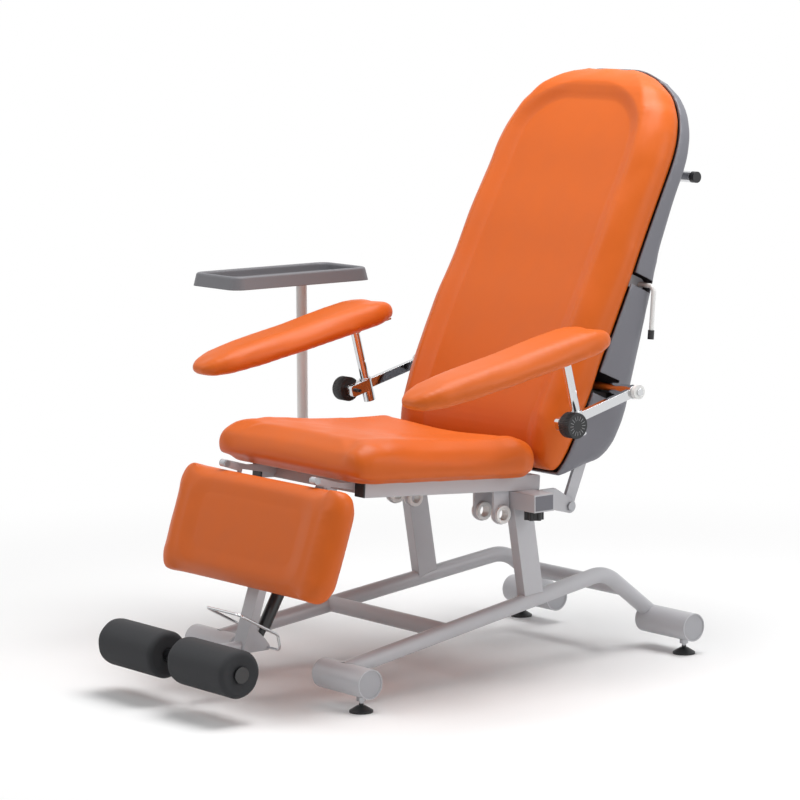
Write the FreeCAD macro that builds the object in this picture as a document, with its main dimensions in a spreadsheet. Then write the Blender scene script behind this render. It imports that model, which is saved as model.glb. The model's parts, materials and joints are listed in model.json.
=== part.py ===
import FreeCAD, Part
import math
import os
import re
from types import SimpleNamespace
from FreeCAD import Placement, Rotation, Vector

# Phlebotomy chair with a tubular base, a reclining back, a lifting legrest, two arm pads and a tray.
# Millimetres. The origin lies on the floor under the middle of the base, +Z is up, the sitter faces -Y
# and the sitter's left is +X. Reach means a distance from the middle plane, spread a half distance.

SIZES = {
    # Foot stubs and levelling feet
    "stub_diameter": 63.0,
    "stub_wall": 2.5,
    "stub_length": 158.0,
    "stub_reach": 230.0,
    "stub_spread": 455.7,
    "stub_height": 63.0,
    "cap_thickness": 3.0,
    "cap_recess": 1.5,
    "foot_reach": 277.5,
    "foot_diameter": 50.0,
    "foot_rim": 4.0,
    "foot_cone": 10.0,
    "foot_neck_diameter": 18.0,
    "stem_diameter": 10.0,
    "stem_top": 50.0,
    "nut_corners": 19.6,
    "nut_height": 8.0,
    "running_gap": 0.05,
    # Side tubes, cross tubes and legs
    "tube_diameter": 35.0,
    "tube_front_reach": 221.0,
    "tube_front_height": 79.1,
    "hump_reach": 170.0,
    "hump_depth": 313.0,
    "hump_height": 185.6,
    "hump_radius": 90.0,
    "tube_rear_reach": 168.0,
    "tube_rear_height": 77.0,
    "cross_front_depth": -165.0,
    "cross_rear_depth": 368.0,
    "leg_reach": 182.5,
    "leg_width": 26.0,
    "leg_depth": 52.0,
    "leg_lean": 9.2,
    "leg_foot_height": 150.0,
    # Accessory sockets, plug, star knobs
    "socket_inner_reach": 169.0,
    "socket_outer_reach": 265.0,
    "socket_depth": 55.0,
    "socket_drop": 58.0,
    "socket_width": 56.0,
    "socket_height": 38.0,
    "socket_wall": 3.0,
    "bar_gap": 0.3,
    "plug_thickness": 20.0,
    "knob_reach": 231.0,
    "knob_diameter": 43.0,
    "knob_height": 20.0,
    "knob_lobe_radius": 5.0,
    "knob_stem_diameter": 8.0,
    "knob_clear": 1.0,
    # Seat frame, in the seat's own tilted frame
    "seat_tilt": 3.9,
    "seat_level": 419.0,
    "rail_reach": 180.0,
    "rail_width": 30.0,
    "rail_height": 33.0,
    "rail_front": 378.0,
    "rail_rear": 103.0,
    "rail_cap": 4.0,
    "rail_edge": 4.0,
    "front_bar_depth": -325.0,
    "rear_bar_depth": 45.0,
    "seat_bar_width": 40.0,
    "seat_bar_height": 25.0,
    "board_thickness": 10.0,
    "seat_board_reach": 238.0,
    "board_setback": 61.3,
    "seat_board_rear": 50.0,
    "board_corner": 40.0,
    # Lift lugs and their bushes
    "lug_inner_reach": 118.0,
    "lug_outer_reach": 182.0,
    "lug_thickness": 6.0,
    "lug_depth": 7.6,
    "lug_drop": 67.6,
    "lug_nose_radius": 22.0,
    "lug_top_front": 18.0,
    "lug_outer_top_rear": 24.0,
    "lug_inner_top_rear": 62.0,
    "bush_diameter": 40.0,
    "bush_length": 20.0,
    "bush_bore": 25.0,
    # Recline hinge
    "hinge_depth": 184.0,
    "hinge_drop": 67.5,
    "hinge_plate_thickness": 8.0,
    "hinge_plate_front": 84.0,
    "hinge_plate_top_drop": 23.0,
    "hinge_plate_floor_drop": 57.0,
    "hinge_plate_neck": 140.0,
    "hinge_nose_radius": 15.0,
    "hinge_pin_diameter": 12.0,
    "hinge_head_diameter": 20.0,
    "hinge_head_height": 6.0,
    "side_gap": 0.3,
    # Back, in its own frame at the recline hinge
    "back_tilt": 23.0,
    "back_bar_width": 29.0,
    "back_bar_thickness": 8.0,
    "back_bar_length": 250.0,
    "back_cross_width": 30.0,
    "back_cross_height": 20.0,
    "back_cross_low": 160.0,
    "back_cross_high": 242.0,
    "standoff_width": 40.0,
    "back_length": 940.0,
    "back_start": 46.0,
    "back_half_width": 283.0,
    "back_depth": 190.0,
    "back_board_thickness": 12.0,
    "board_gap": 0.8,
    "shell_wall": 4.0,
    "shell_inset": 3.0,
    "shell_corner": 45.0,
    "seam_gap": 1.2,
    "bar_slot_gap": 2.0,
    "spring_slot_reach": 22.0,
    "spring_slot_front": 98.0,
    "spring_slot_rear": 14.0,
    "spring_slot_top": 115.0,
    "arm_slot_half": 24.0,
    "slot_start": 212.0,
    # Push handle
    "handle_diameter": 25.0,
    "handle_reach": 259.0,
    "handle_rise": 774.0,
    "handle_back": 19.0,
    "handle_arm_reach": 150.0,
    "handle_arm_diameter": 20.0,
    "handle_front": 95.0,
    "handle_cap": 14.0,
    # Release lever of the back
    "lever_diameter": 10.5,
    "lever_reach": 294.0,
    "lever_rise": 503.0,
    "lever_front": 39.0,
    "lever_tip_rise": 412.0,
    "lever_tip_front": 9.0,
    "lever_bend": 14.0,
    "lever_inner_reach": 236.0,
    "lever_plate_start": 240.0,
    "lever_plate_thickness": 6.0,
    "lever_plate_half": 14.0,
    "grip_diameter": 14.0,
    "grip_length": 20.0,
    "slot_height": 28.0,
    # Gas springs
    "spring_cylinder_diameter": 28.0,
    "spring_rod_diameter": 10.0,
    "spring_eye_diameter": 26.0,
    "spring_eye_width": 20.0,
    "spring_pin_diameter": 10.0,
    "spring_neck_diameter": 16.0,
    "spring_neck_length": 30.0,
    "spring_plate_thickness": 5.0,
    "spring_plate_gap": 1.0,
    "back_anchor_depth": 112.0,
    "back_anchor_drop": 26.4,
    "back_pivot_rise": 205.0,
    "back_pivot_front": 30.0,
    "back_cylinder_length": 100.0,
    "leg_anchor_depth": -343.3,
    "leg_anchor_drop": 37.4,
    "leg_pivot_drop": 352.3,
    "leg_pivot_back": 82.0,
    "leg_cylinder_length": 180.0,
    # Arms, in their own frame at the arm cross tube
    "arm_tilt": 14.5,
    "arm_rise": 260.34,
    "arm_front": 64.88,
    "arm_tube_diameter": 25.0,
    "arm_reach": 361.0,
    "arm_bar_width": 12.0,
    "arm_bar_height": 20.0,
    "arm_eye_diameter": 28.0,
    "arm_pin_diameter": 12.0,
    "arm_cap_diameter": 31.0,
    "arm_cap_thickness": 10.0,
    "arm_screw_diameter": 17.0,
    "arm_screw_height": 4.0,
    "post_distance": 169.0,
    "post_diameter": 20.0,
    "post_sink": 6.0,
    "post_foot": 30.0,
    "sleeve_diameter": 27.0,
    "sleeve_top": 16.0,
    "sleeve_foot": 38.0,
    "clamp_distance": 207.0,
    "clamp_nose": 14.0,
    "clamp_width": 26.0,
    "clamp_height": 26.0,
    "clamp_slit": 2.0,
    "clamp_bolt_diameter": 8.0,
    "clamp_bolt_tip": 11.0,
    "clamp_knob_diameter": 53.0,
    "clamp_knob_length": 31.0,
    # Arm pads, in their own frame on top of the posts
    "pad_tilt": 11.3,
    "pad_rise": 139.0,
    "pad_length": 524.0,
    "pad_rear": 92.0,
    "pad_half_width": 68.0,
    "pad_thickness": 46.0,
    "pad_reach": 368.0,
    "pad_plate_length": 172.0,
    "pad_plate_width": 60.0,
    "pad_plate_thickness": 4.0,
    "pad_boss_diameter": 30.0,
    "pad_boss_height": 10.0,
    # Seat cushion, in the seat's frame
    "seat_length": 497.0,
    "seat_rear": 50.0,
    "seat_half_width": 265.0,
    "seat_thickness": 80.0,
    # Legrest, in its own frame at its hinge
    "leg_tilt": 18.8,
    "leg_hinge_front": 483.3,
    "leg_hinge_rise": 19.1,
    "leg_pin_diameter": 8.0,
    "leg_ear_radius": 8.0,
    "leg_lug_thickness": 6.0,
    "leg_lug_floor": -8.0,
    "leg_lug_top": 14.0,
    "leg_pad_top": 9.5,
    "leg_pad_length": 240.0,
    "leg_pad_back": 27.0,
    "leg_pad_thickness": 50.0,
    "leg_pad_half_width": 288.0,
    "leg_board_inset": 14.0,
    "leg_board_thickness": 10.0,
    "leg_bar_width": 40.0,
    "leg_bar_thickness": 20.0,
    "leg_bar_bottom": 378.0,
    "leg_cross_drop": 60.0,
    "leg_cross_width": 30.0,
    "loop_diameter": 6.0,
    "loop_reach": 60.0,
    "loop_bend": 12.0,
    "loop_pivot_drop": 357.0,
    "loop_pivot_back": 101.0,
    "loop_elbow_drop": 327.0,
    "loop_elbow_back": 84.0,
    "loop_front_drop": 307.0,
    "loop_front": 27.6,
    # Foam rollers
    "roller_diameter": 100.0,
    "roller_inner_reach": 30.0,
    "roller_outer_reach": 225.0,
    "roller_edge": 8.0,
    "roller_drop": 423.4,
    "roller_front": 111.6,
    "axle_diameter": 25.0,
    "axle_plug_diameter": 34.0,
    "axle_plug_thickness": 4.0,
    # Tray with its bar and pole
    "tray_bar_width": 50.0,
    "tray_bar_height": 30.0,
    "tray_bar_inner": 175.0,
    "tray_reach": 536.0,
    "pole_diameter": 25.0,
    "pole_sleeve_diameter": 36.0,
    "pole_sleeve_top_rise": 49.0,
    "pole_sleeve_foot_drop": 9.0,
    "pole_foot_drop": 16.0,
    "tray_rise": 440.0,
    "tray_length": 392.0,
    "tray_width": 182.0,
    "tray_centre_depth": -45.0,
    "tray_height": 30.0,
    "tray_wall": 5.0,
    "tray_floor": 6.0,
    "tray_corner": 28.0,
    "tray_draft": 6.0,
    "tray_plate_diameter": 80.0,
    "tray_plate_thickness": 5.0,
    "overrun": 2.0,
}

# Shares of the cushions and the shell, station by station:
# place along the length, half width, back face and front face.
SEAT_SHARES = [
    (0.0, 0.86, 0.25, 0.62), (0.03, 0.96, 0.05, 0.86), (0.1, 1.0, 0.0, 0.97), (0.3, 1.0, 0.0, 0.93),
    (0.55, 1.0, 0.0, 0.92), (0.78, 1.0, 0.0, 0.99), (0.92, 0.985, 0.0, 0.97), (0.98, 0.95, 0.06, 0.78),
    (1.0, 0.88, 0.22, 0.55),
]
LEGREST_SHARES = [
    (0.0, 0.9, 0.22, 0.62), (0.05, 0.97, 0.04, 0.88), (0.16, 1.0, 0.0, 0.98), (0.5, 1.0, 0.0, 1.0),
    (0.84, 0.99, 0.0, 0.98), (0.95, 0.96, 0.04, 0.88), (1.0, 0.89, 0.22, 0.62),
]
ARM_PAD_SHARES = [
    (0.0, 0.55, 0.25, 0.6), (0.03, 0.8, 0.08, 0.85), (0.1, 0.97, 0.0, 0.97), (0.25, 1.0, 0.0, 0.96),
    (0.5, 0.97, 0.0, 0.9), (0.75, 0.88, 0.0, 0.92), (0.9, 0.76, 0.05, 0.88), (0.97, 0.55, 0.15, 0.76),
    (1.0, 0.3, 0.3, 0.6),
]
# Of the back: place up its length, half width, seam between cushion and shell, cushion front, shell rear
BACK_SHARES = [
    (0.0, 0.9, 0.574, 0.737, 0.5), (0.015, 0.93, 0.568, 0.82, 0.42), (0.057, 0.955, 0.553, 0.905, 0.095),
    (0.08, 0.965, 0.551, 0.935, -0.07), (0.11, 0.975, 0.55, 0.963, -0.125), (0.185, 1.0, 0.545, 0.968, -0.141),
    (0.27, 1.0, 0.537, 0.963, -0.084), (0.377, 1.0, 0.505, 0.937, -0.024), (0.483, 0.995, 0.47, 0.885, 0.042),
    (0.589, 0.985, 0.44, 0.863, 0.13), (0.696, 0.98, 0.405, 0.811, 0.147), (0.781, 0.965, 0.36, 0.79, 0.109),
    (0.834, 0.93, 0.33, 0.77, 0.102), (0.887, 0.86, 0.315, 0.745, 0.11), (0.94, 0.72, 0.31, 0.7, 0.13),
    (0.978, 0.52, 0.33, 0.62, 0.19), (1.0, 0.3, 0.37, 0.5, 0.27),
]
# Of a cushion: draw-in at the seam, width of the side roll, width of the slope, and the roll's bulge height
SEAM_DRAW_SHARE = 0.03
ROLL_SHARE = 0.16
SLOPE_SHARE = 0.17
BULGE_SHARE = 0.45
# Place of the middle of the slope and of the panel's crown, as shares of the panel's depth
SLOPE_BOW_SHARE = 0.35
PANEL_CROWN_SHARE = 0.25
# Depth of the middle panel under the side rolls, as a share of the cushion's depth
PANEL_SHARES = {"seat": 0.05, "legrest": 0.07, "arm": 0.03, "back": 0.11}
BOARD_SHARE = 0.9

# Heights that follow the seat, and places that follow the tilted frames of seat, back and arms
PLACES = {
    "socket_floor": "=seat_level - socket_drop",
    "hinge_height": "=seat_level - hinge_drop",
    "hinge_plate_top": "=seat_level - hinge_plate_top_drop",
    "hinge_plate_floor": "=seat_level - hinge_plate_floor_drop",
    "pole_sleeve_top": "=socket_floor + pole_sleeve_top_rise",
    "pole_sleeve_foot": "=socket_floor - pole_sleeve_foot_drop",
    "pole_foot": "=socket_floor - pole_foot_drop",
    "tray_floor_height": "=socket_floor + tray_rise",
    "seat_board_front": "=leg_hinge_front - board_setback",
    "leg_hinge_depth": "=leg_hinge_rise * sin(seat_tilt) - leg_hinge_front * cos(seat_tilt)",
    "leg_hinge_height": "=seat_level + leg_hinge_front * sin(seat_tilt) + leg_hinge_rise * cos(seat_tilt)",
    "arm_depth": "=hinge_depth + arm_rise * sin(back_tilt) - arm_front * cos(back_tilt)",
    "arm_height": "=hinge_height + arm_rise * cos(back_tilt) + arm_front * sin(back_tilt)",
    "pad_depth": "=arm_depth - post_distance * cos(arm_tilt) - pad_rise * sin(arm_tilt)",
    "pad_height": "=arm_height - post_distance * sin(arm_tilt) + pad_rise * cos(arm_tilt)",
    "post_top": "=pad_rise - post_sink",
}
CELLS = {**{alias: str(value) for alias, value in SIZES.items()}, **PLACES}

doc = FreeCAD.newDocument("PhlebotomyChair")
sheet = doc.addObject("Spreadsheet::Sheet", "Sizes")
for row, (alias, content) in enumerate(CELLS.items(), 1):
    sheet.set("A%d" % row, alias)
    sheet.set("B%d" % row, content)
    sheet.setAlias("B%d" % row, alias)
doc.recompute()
S = SimpleNamespace(**{alias: float(sheet.get(alias)) for alias in CELLS})
PIECES = {}
X_AXIS = Vector(1, 0, 0)


def formula(text):
    """Turn the names of sizes in a formula into references to their cells."""
    def refer(word):
        name = word.group(0)
        return "Sizes." + name if name in CELLS else name
    return re.sub(r"[a-z]+(_[a-z]+)*", refer, text)


def bind(item, formulas):
    """Bind properties of a feature to formulas of sizes."""
    for prop, text in formulas.items():
        item.setExpression(prop, formula(text))
    return item


def place(item, corner):
    """Bind the place of a feature."""
    return bind(item, {".Placement.Base." + axis: text for axis, text in zip("xyz", corner)})


def block(name, lengths, corner):
    """Rectangular block from its least corner."""
    item = bind(doc.addObject("Part::Box", name), dict(zip(("Length", "Width", "Height"), lengths)))
    return place(item, corner)


TURNS = {
    "x": Rotation(Vector(0, 1, 0), 90),
    "y": Rotation(Vector(1, 0, 0), -90),
    "z": Rotation(),
}


def rod(name, diameter, length, start, axis):
    """Round rod of a length from its start along an axis."""
    item = doc.addObject("Part::Cylinder", name)
    item.Placement = Placement(Vector(), TURNS[axis])
    bind(item, {"Radius": "(" + diameter + ") / 2", "Height": length})
    return place(item, start)


def hexagon(name, across_corners, length, start, axis):
    """Hexagon prism of a length from its start along an axis."""
    item = doc.addObject("Part::Prism", name)
    item.Polygon = 6
    item.Placement = Placement(Vector(), TURNS[axis])
    bind(item, {"Circumradius": "(" + across_corners + ") / 2", "Height": length})
    return place(item, start)


def fuse(name, *items):
    """One solid from several."""
    item = doc.addObject("Part::MultiFuse", name)
    item.Shapes = list(items)
    return item


def cut(name, base, *tools):
    """Base less its tools."""
    item = doc.addObject("Part::Cut", name)
    item.Base = base
    item.Tool = tools[0] if len(tools) == 1 else fuse(name + "_tools", *tools)
    return item


def mirror(name, source, normal=X_AXIS):
    """The piece on the other side of a middle plane."""
    item = doc.addObject("Part::Mirroring", name)
    item.Source = source
    item.Base = Vector()
    item.Normal = normal
    return item


def group(name, items, frame=Placement()):
    """Several solids, set in a frame of the chair."""
    item = doc.addObject("Part::Compound", name)
    item.Links = list(items)
    item.Placement = frame
    return item


def keep(label, *items, frame=Placement()):
    """Name a finished sub-part."""
    item = items[0]
    if len(items) > 1 or not frame.isIdentity():
        item = group("node_" + label, items, frame)
    item.Label = label
    PIECES[label] = item
    return item


def hull_edges(corners):
    """Lines and arcs round the corners (u, v, radius) of a convex outline, counter-clockwise."""
    normals = []
    for (u1, v1, r1), (u2, v2, r2) in zip(corners, corners[1:] + corners[:1]):
        span = math.hypot(u2 - u1, v2 - v1)
        du, dv = (u2 - u1) / span, (v2 - v1) / span
        lean = (r1 - r2) / span
        side = math.sqrt(1 - lean * lean)
        normals.append((du * lean + dv * side, dv * lean - du * side))
    edges = []
    for place_in_list, (u, v, radius) in enumerate(corners):
        before = normals[place_in_list - 1]
        after = normals[place_in_list]
        if radius > 0:
            start = math.atan2(before[1], before[0])
            end = math.atan2(after[1], after[0])
            while end < start:
                end += 2 * math.pi
            edges.append(Part.ArcOfCircle(Part.Circle(Vector(u, v, 0), Vector(0, 0, 1), radius), start, end))
        u2, v2, r2 = corners[(place_in_list + 1) % len(corners)]
        edges.append(Part.LineSegment(Vector(u + radius * after[0], v + radius * after[1], 0),
                                      Vector(u2 + r2 * after[0], v2 + r2 * after[1], 0)))
    return edges


def plate(name, corners, thickness, start, plane="YZ_Plane", holes=()):
    """Flat plate with a rounded convex outline and round holes (u, v, radius), padded off its plane."""
    body = doc.addObject("PartDesign::Body", name)
    sketch = body.newObject("Sketcher::SketchObject", name + "_outline")
    origin = [item for item in body.Origin.OriginFeatures if item.Role == plane][0]
    sketch.AttachmentSupport = [(origin, "")]
    sketch.MapMode = "FlatFace"
    sketch.setExpression(".AttachmentOffset.Base.z", formula(start))
    for edge in hull_edges(corners):
        sketch.addGeometry(edge, False)
    for u, v, radius in holes:
        sketch.addGeometry(Part.Circle(Vector(u, v, 0), Vector(0, 0, 1), radius), False)
    pad = body.newObject("PartDesign::Pad", name + "_pad")
    pad.Profile = sketch
    bind(pad, {"Length": thickness})
    return body


def solid(name, shape):
    """Feature for a swept or lofted shape."""
    item = doc.addObject("Part::Feature", name)
    item.Shape = shape
    return item


def bent_rod(name, points, radius, diameter):
    """Round rod through points, its straight runs joined by turned bends."""
    pieces = []
    start = points[0]
    for before, corner, after in zip(points, points[1:], points[2:]):
        ahead_before = (corner - before).normalize()
        ahead_after = (after - corner).normalize()
        bend = ahead_before.getAngle(ahead_after)
        first = corner - ahead_before * (radius * math.tan(bend / 2))
        last = corner + ahead_after * (radius * math.tan(bend / 2))
        pieces.append(Part.makeCylinder(diameter / 2, (first - start).Length, start, ahead_before))
        axis = ahead_before.cross(ahead_after).normalize()
        ring = Part.Face(Part.Wire(Part.makeCircle(diameter / 2, first, ahead_before)))
        pieces.append(ring.revolve(first + axis.cross(ahead_before) * radius, axis, math.degrees(bend)))
        start = last
    pieces.append(Part.makeCylinder(diameter / 2, (points[-1] - start).Length, start, points[-1] - start))
    return solid(name, pieces[0].fuse(pieces[1:]))


def loft(sections):
    """Closed solid through sections."""
    return Part.makeLoft(sections, True, True)


def cushion_section(point, half_width, back, front, panel):
    """Section of a cushion: side rolls, slopes to a flatter middle, and a straight back."""
    depth = front - back
    seam = half_width * (1 - SEAM_DRAW_SHARE)
    crest = half_width * (1 - ROLL_SHARE)
    foot = half_width * (1 - ROLL_SHARE - SLOPE_SHARE)
    middle = front - panel
    side_right = Part.Arc(point(seam, back), point(half_width, back + depth * BULGE_SHARE), point(crest, front))
    slope_right = Part.Arc(point(crest, front), point((crest + foot) / 2, front - panel * SLOPE_BOW_SHARE), point(foot, middle))
    top = Part.Arc(point(foot, middle), point(0, middle + panel * PANEL_CROWN_SHARE), point(-foot, middle))
    slope_left = Part.Arc(point(-foot, middle), point(-(crest + foot) / 2, front - panel * SLOPE_BOW_SHARE),
                          point(-crest, front))
    side_left = Part.Arc(point(-crest, front), point(-half_width, back + depth * BULGE_SHARE), point(-seam, back))
    base = Part.LineSegment(point(-seam, back), point(seam, back))
    return Part.Wire([edge.toShape() for edge in (side_right, slope_right, top, slope_left, side_left, base)])


def cushion(name, shares, length, half_width, depth, panel_share, point):
    """Cushion lofted through its stations; point maps (level, across, up) into the piece's frame."""
    sections = []
    for level, wide, back, front in shares:
        def at(across, up, level=level):
            return point(level * length, across, up)
        panel = (front - back) * depth * panel_share
        sections.append(cushion_section(at, wide * half_width, back * depth, front * depth, panel))
    return solid(name, loft(sections))


def build_base():
    """Foot stubs, tubes, legs and levelling feet."""
    gap = "2 * running_gap"
    start = "stub_reach - stub_length / 2"
    skin = rod("stub_skin", "stub_diameter", "stub_length", (start, "stub_spread", "stub_height"), "x")
    bore = rod("stub_bore", "stub_diameter - 2 * stub_wall", "stub_length + 2 * overrun",
               (start + " - overrun", "stub_spread", "stub_height"), "x")
    stem_hole = rod("stub_stem_hole", "stem_diameter + " + gap, "stub_height", ("foot_reach", "stub_spread", "0"),
                    "z")
    stub = cut("stub", skin, bore, stem_hole)
    stub_right = mirror("stub_right", stub)
    keep("rear_foot_stubs", stub, stub_right)
    keep("front_foot_stubs", mirror("stub_front_left", stub, Vector(0, 1, 0)),
         mirror("stub_front_right", stub_right, Vector(0, 1, 0)))

    cap_diameter = "stub_diameter - 2 * stub_wall"
    outer_cap = rod("outer_cap", cap_diameter, "cap_thickness",
                    ("stub_reach + stub_length / 2 - cap_recess - cap_thickness", "stub_spread", "stub_height"), "x")
    inner_cap = rod("inner_cap", cap_diameter, "cap_thickness",
                    (start + " + cap_recess", "stub_spread", "stub_height"), "x")
    rear_caps = group("rear_caps", [outer_cap, inner_cap])
    rear_caps_right = mirror("rear_caps_right", rear_caps)
    keep("stub_caps", rear_caps, rear_caps_right, mirror("front_caps", rear_caps, Vector(0, 1, 0)),
         mirror("front_caps_right", rear_caps_right, Vector(0, 1, 0)))

    nut_body = hexagon("nut_body", "nut_corners", "nut_height + stub_wall",
                       ("foot_reach", "stub_spread", "stub_height - stub_diameter / 2 - nut_height"), "z")
    nut = cut("nut", nut_body, skin, stem_hole)
    nut_right = mirror("nut_right", nut)
    keep("foot_nuts", nut, nut_right, mirror("nut_front", nut, Vector(0, 1, 0)),
         mirror("nut_front_right", nut_right, Vector(0, 1, 0)))

    rim = rod("foot_rim_disc", "foot_diameter", "foot_rim", ("foot_reach", "stub_spread", "0"), "z")
    cone = doc.addObject("Part::Cone", "foot_cone_body")
    bind(cone, {"Radius1": "foot_diameter / 2", "Radius2": "foot_neck_diameter / 2", "Height": "foot_cone"})
    place(cone, ("foot_reach", "stub_spread", "foot_rim"))
    stem = rod("foot_stem", "stem_diameter", "stem_top - foot_rim", ("foot_reach", "stub_spread", "foot_rim"), "z")
    foot = fuse("foot", rim, cone, stem)
    foot_right = mirror("foot_right", foot)
    keep("levelling_foot_rear_left", foot)
    keep("levelling_foot_rear_right", foot_right)
    keep("levelling_foot_front_left", mirror("foot_front", foot, Vector(0, 1, 0)))
    keep("levelling_foot_front_right", mirror("foot_front_right", foot_right, Vector(0, 1, 0)))

    points = [Vector(S.tube_front_reach, -S.stub_spread, S.tube_front_height),
              Vector(S.hump_reach, S.hump_depth, S.hump_height),
              Vector(S.tube_rear_reach, S.stub_spread, S.tube_rear_height)]
    bent = bent_rod("side_tube_full", points, S.hump_radius, S.tube_diameter)
    front_skin = mirror("stub_skin_front", skin, Vector(0, 1, 0))
    side_tube = cut("side_tube", bent, skin, front_skin)
    side_tube_right = mirror("side_tube_right", side_tube)
    keep("side_tubes", side_tube, side_tube_right)

    bent_right = mirror("bent_right", bent)
    rise = "tube_front_height + (hump_height - tube_front_height)"
    front_share = " * (cross_front_depth + stub_spread) / (hump_depth + stub_spread)"
    front_reach = "(tube_front_reach + (hump_reach - tube_front_reach)" + front_share + ")"
    front_bar = rod("cross_front_full", "tube_diameter", "2 * " + front_reach,
                    ("-" + front_reach, "cross_front_depth", rise + front_share), "x")
    rear_height = ("hump_height - (hump_height - tube_rear_height)"
                   " * (cross_rear_depth - hump_depth) / (stub_spread - hump_depth)")
    rear_bar = rod("cross_rear_full", "tube_diameter", "2 * tube_rear_reach",
                   ("-tube_rear_reach", "cross_rear_depth", rear_height), "x")
    keep("cross_tubes", cut("cross_front", front_bar, bent, bent_right),
         cut("cross_rear", rear_bar, bent, bent_right))

    run = (S.socket_floor - S.leg_foot_height) * math.tan(math.radians(S.leg_lean))
    half = S.leg_depth / math.cos(math.radians(S.leg_lean)) / 2
    corners = [(S.socket_depth + run - half, S.leg_foot_height, 0), (S.socket_depth + run + half, S.leg_foot_height, 0),
               (S.socket_depth + half, S.socket_floor, 0), (S.socket_depth - half, S.socket_floor, 0)]
    leg_full = plate("leg_full", corners, "leg_width", "leg_reach - leg_width / 2")
    leg = cut("leg", leg_full, bent)
    keep("legs", leg, mirror("leg_right", leg))


def build_sockets():
    """Sockets under the seat rails, the plug of the left one and the star knobs."""
    length = "socket_outer_reach - socket_inner_reach"
    skin = block("socket_skin", (length, "socket_width", "socket_height"),
                 ("socket_inner_reach", "socket_depth - socket_width / 2", "socket_floor"))
    hollow = block("socket_hollow", (length + " + 2 * overrun", "socket_width - 2 * socket_wall",
                                     "socket_height - 2 * socket_wall"),
                   ("socket_inner_reach - overrun", "socket_depth - socket_width / 2 + socket_wall",
                    "socket_floor + socket_wall"))
    stem_hole = rod("knob_stem_hole", "knob_stem_diameter + 2 * running_gap", "socket_wall + 2 * overrun",
                    ("knob_reach", "socket_depth", "socket_floor - overrun"), "z")
    socket = cut("socket", skin, hollow, stem_hole)
    keep("sockets", socket, mirror("socket_right", socket))
    keep("socket_plug", block("plug", ("plug_thickness", "socket_width - 2 * socket_wall",
                                       "socket_height - 2 * socket_wall"),
                              ("socket_outer_reach - plug_thickness",
                               "socket_depth - socket_width / 2 + socket_wall", "socket_floor + socket_wall")))

    knob_floor = "socket_floor - knob_clear - knob_height"
    core = rod("knob_core", "knob_diameter - 2 * knob_lobe_radius", "knob_height",
               ("knob_reach", "socket_depth", knob_floor), "z")
    lobes = []
    for turn in range(6):
        across = "(knob_diameter / 2 - knob_lobe_radius) * cos(%d)" % (60 * turn)
        along = "(knob_diameter / 2 - knob_lobe_radius) * sin(%d)" % (60 * turn)
        lobes.append(rod("knob_lobe_%d" % turn, "2 * knob_lobe_radius", "knob_height",
                         ("knob_reach + " + across, "socket_depth + " + along, knob_floor), "z"))
    stem = rod("knob_stem", "knob_stem_diameter", "knob_height + knob_clear + socket_wall + bar_gap - running_gap",
               ("knob_reach", "socket_depth", knob_floor), "z")
    knob = fuse("star_knob", core, stem, *lobes)
    keep("star_knob_left", knob)
    keep("star_knob_right", mirror("star_knob_mirrored", knob))
    return skin


def seat_frame():
    """Tilted frame of the seat: middle of the rails over the middle of the base."""
    return Placement(Vector(0, 0, S.seat_level), Rotation(X_AXIS, -S.seat_tilt))


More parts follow.
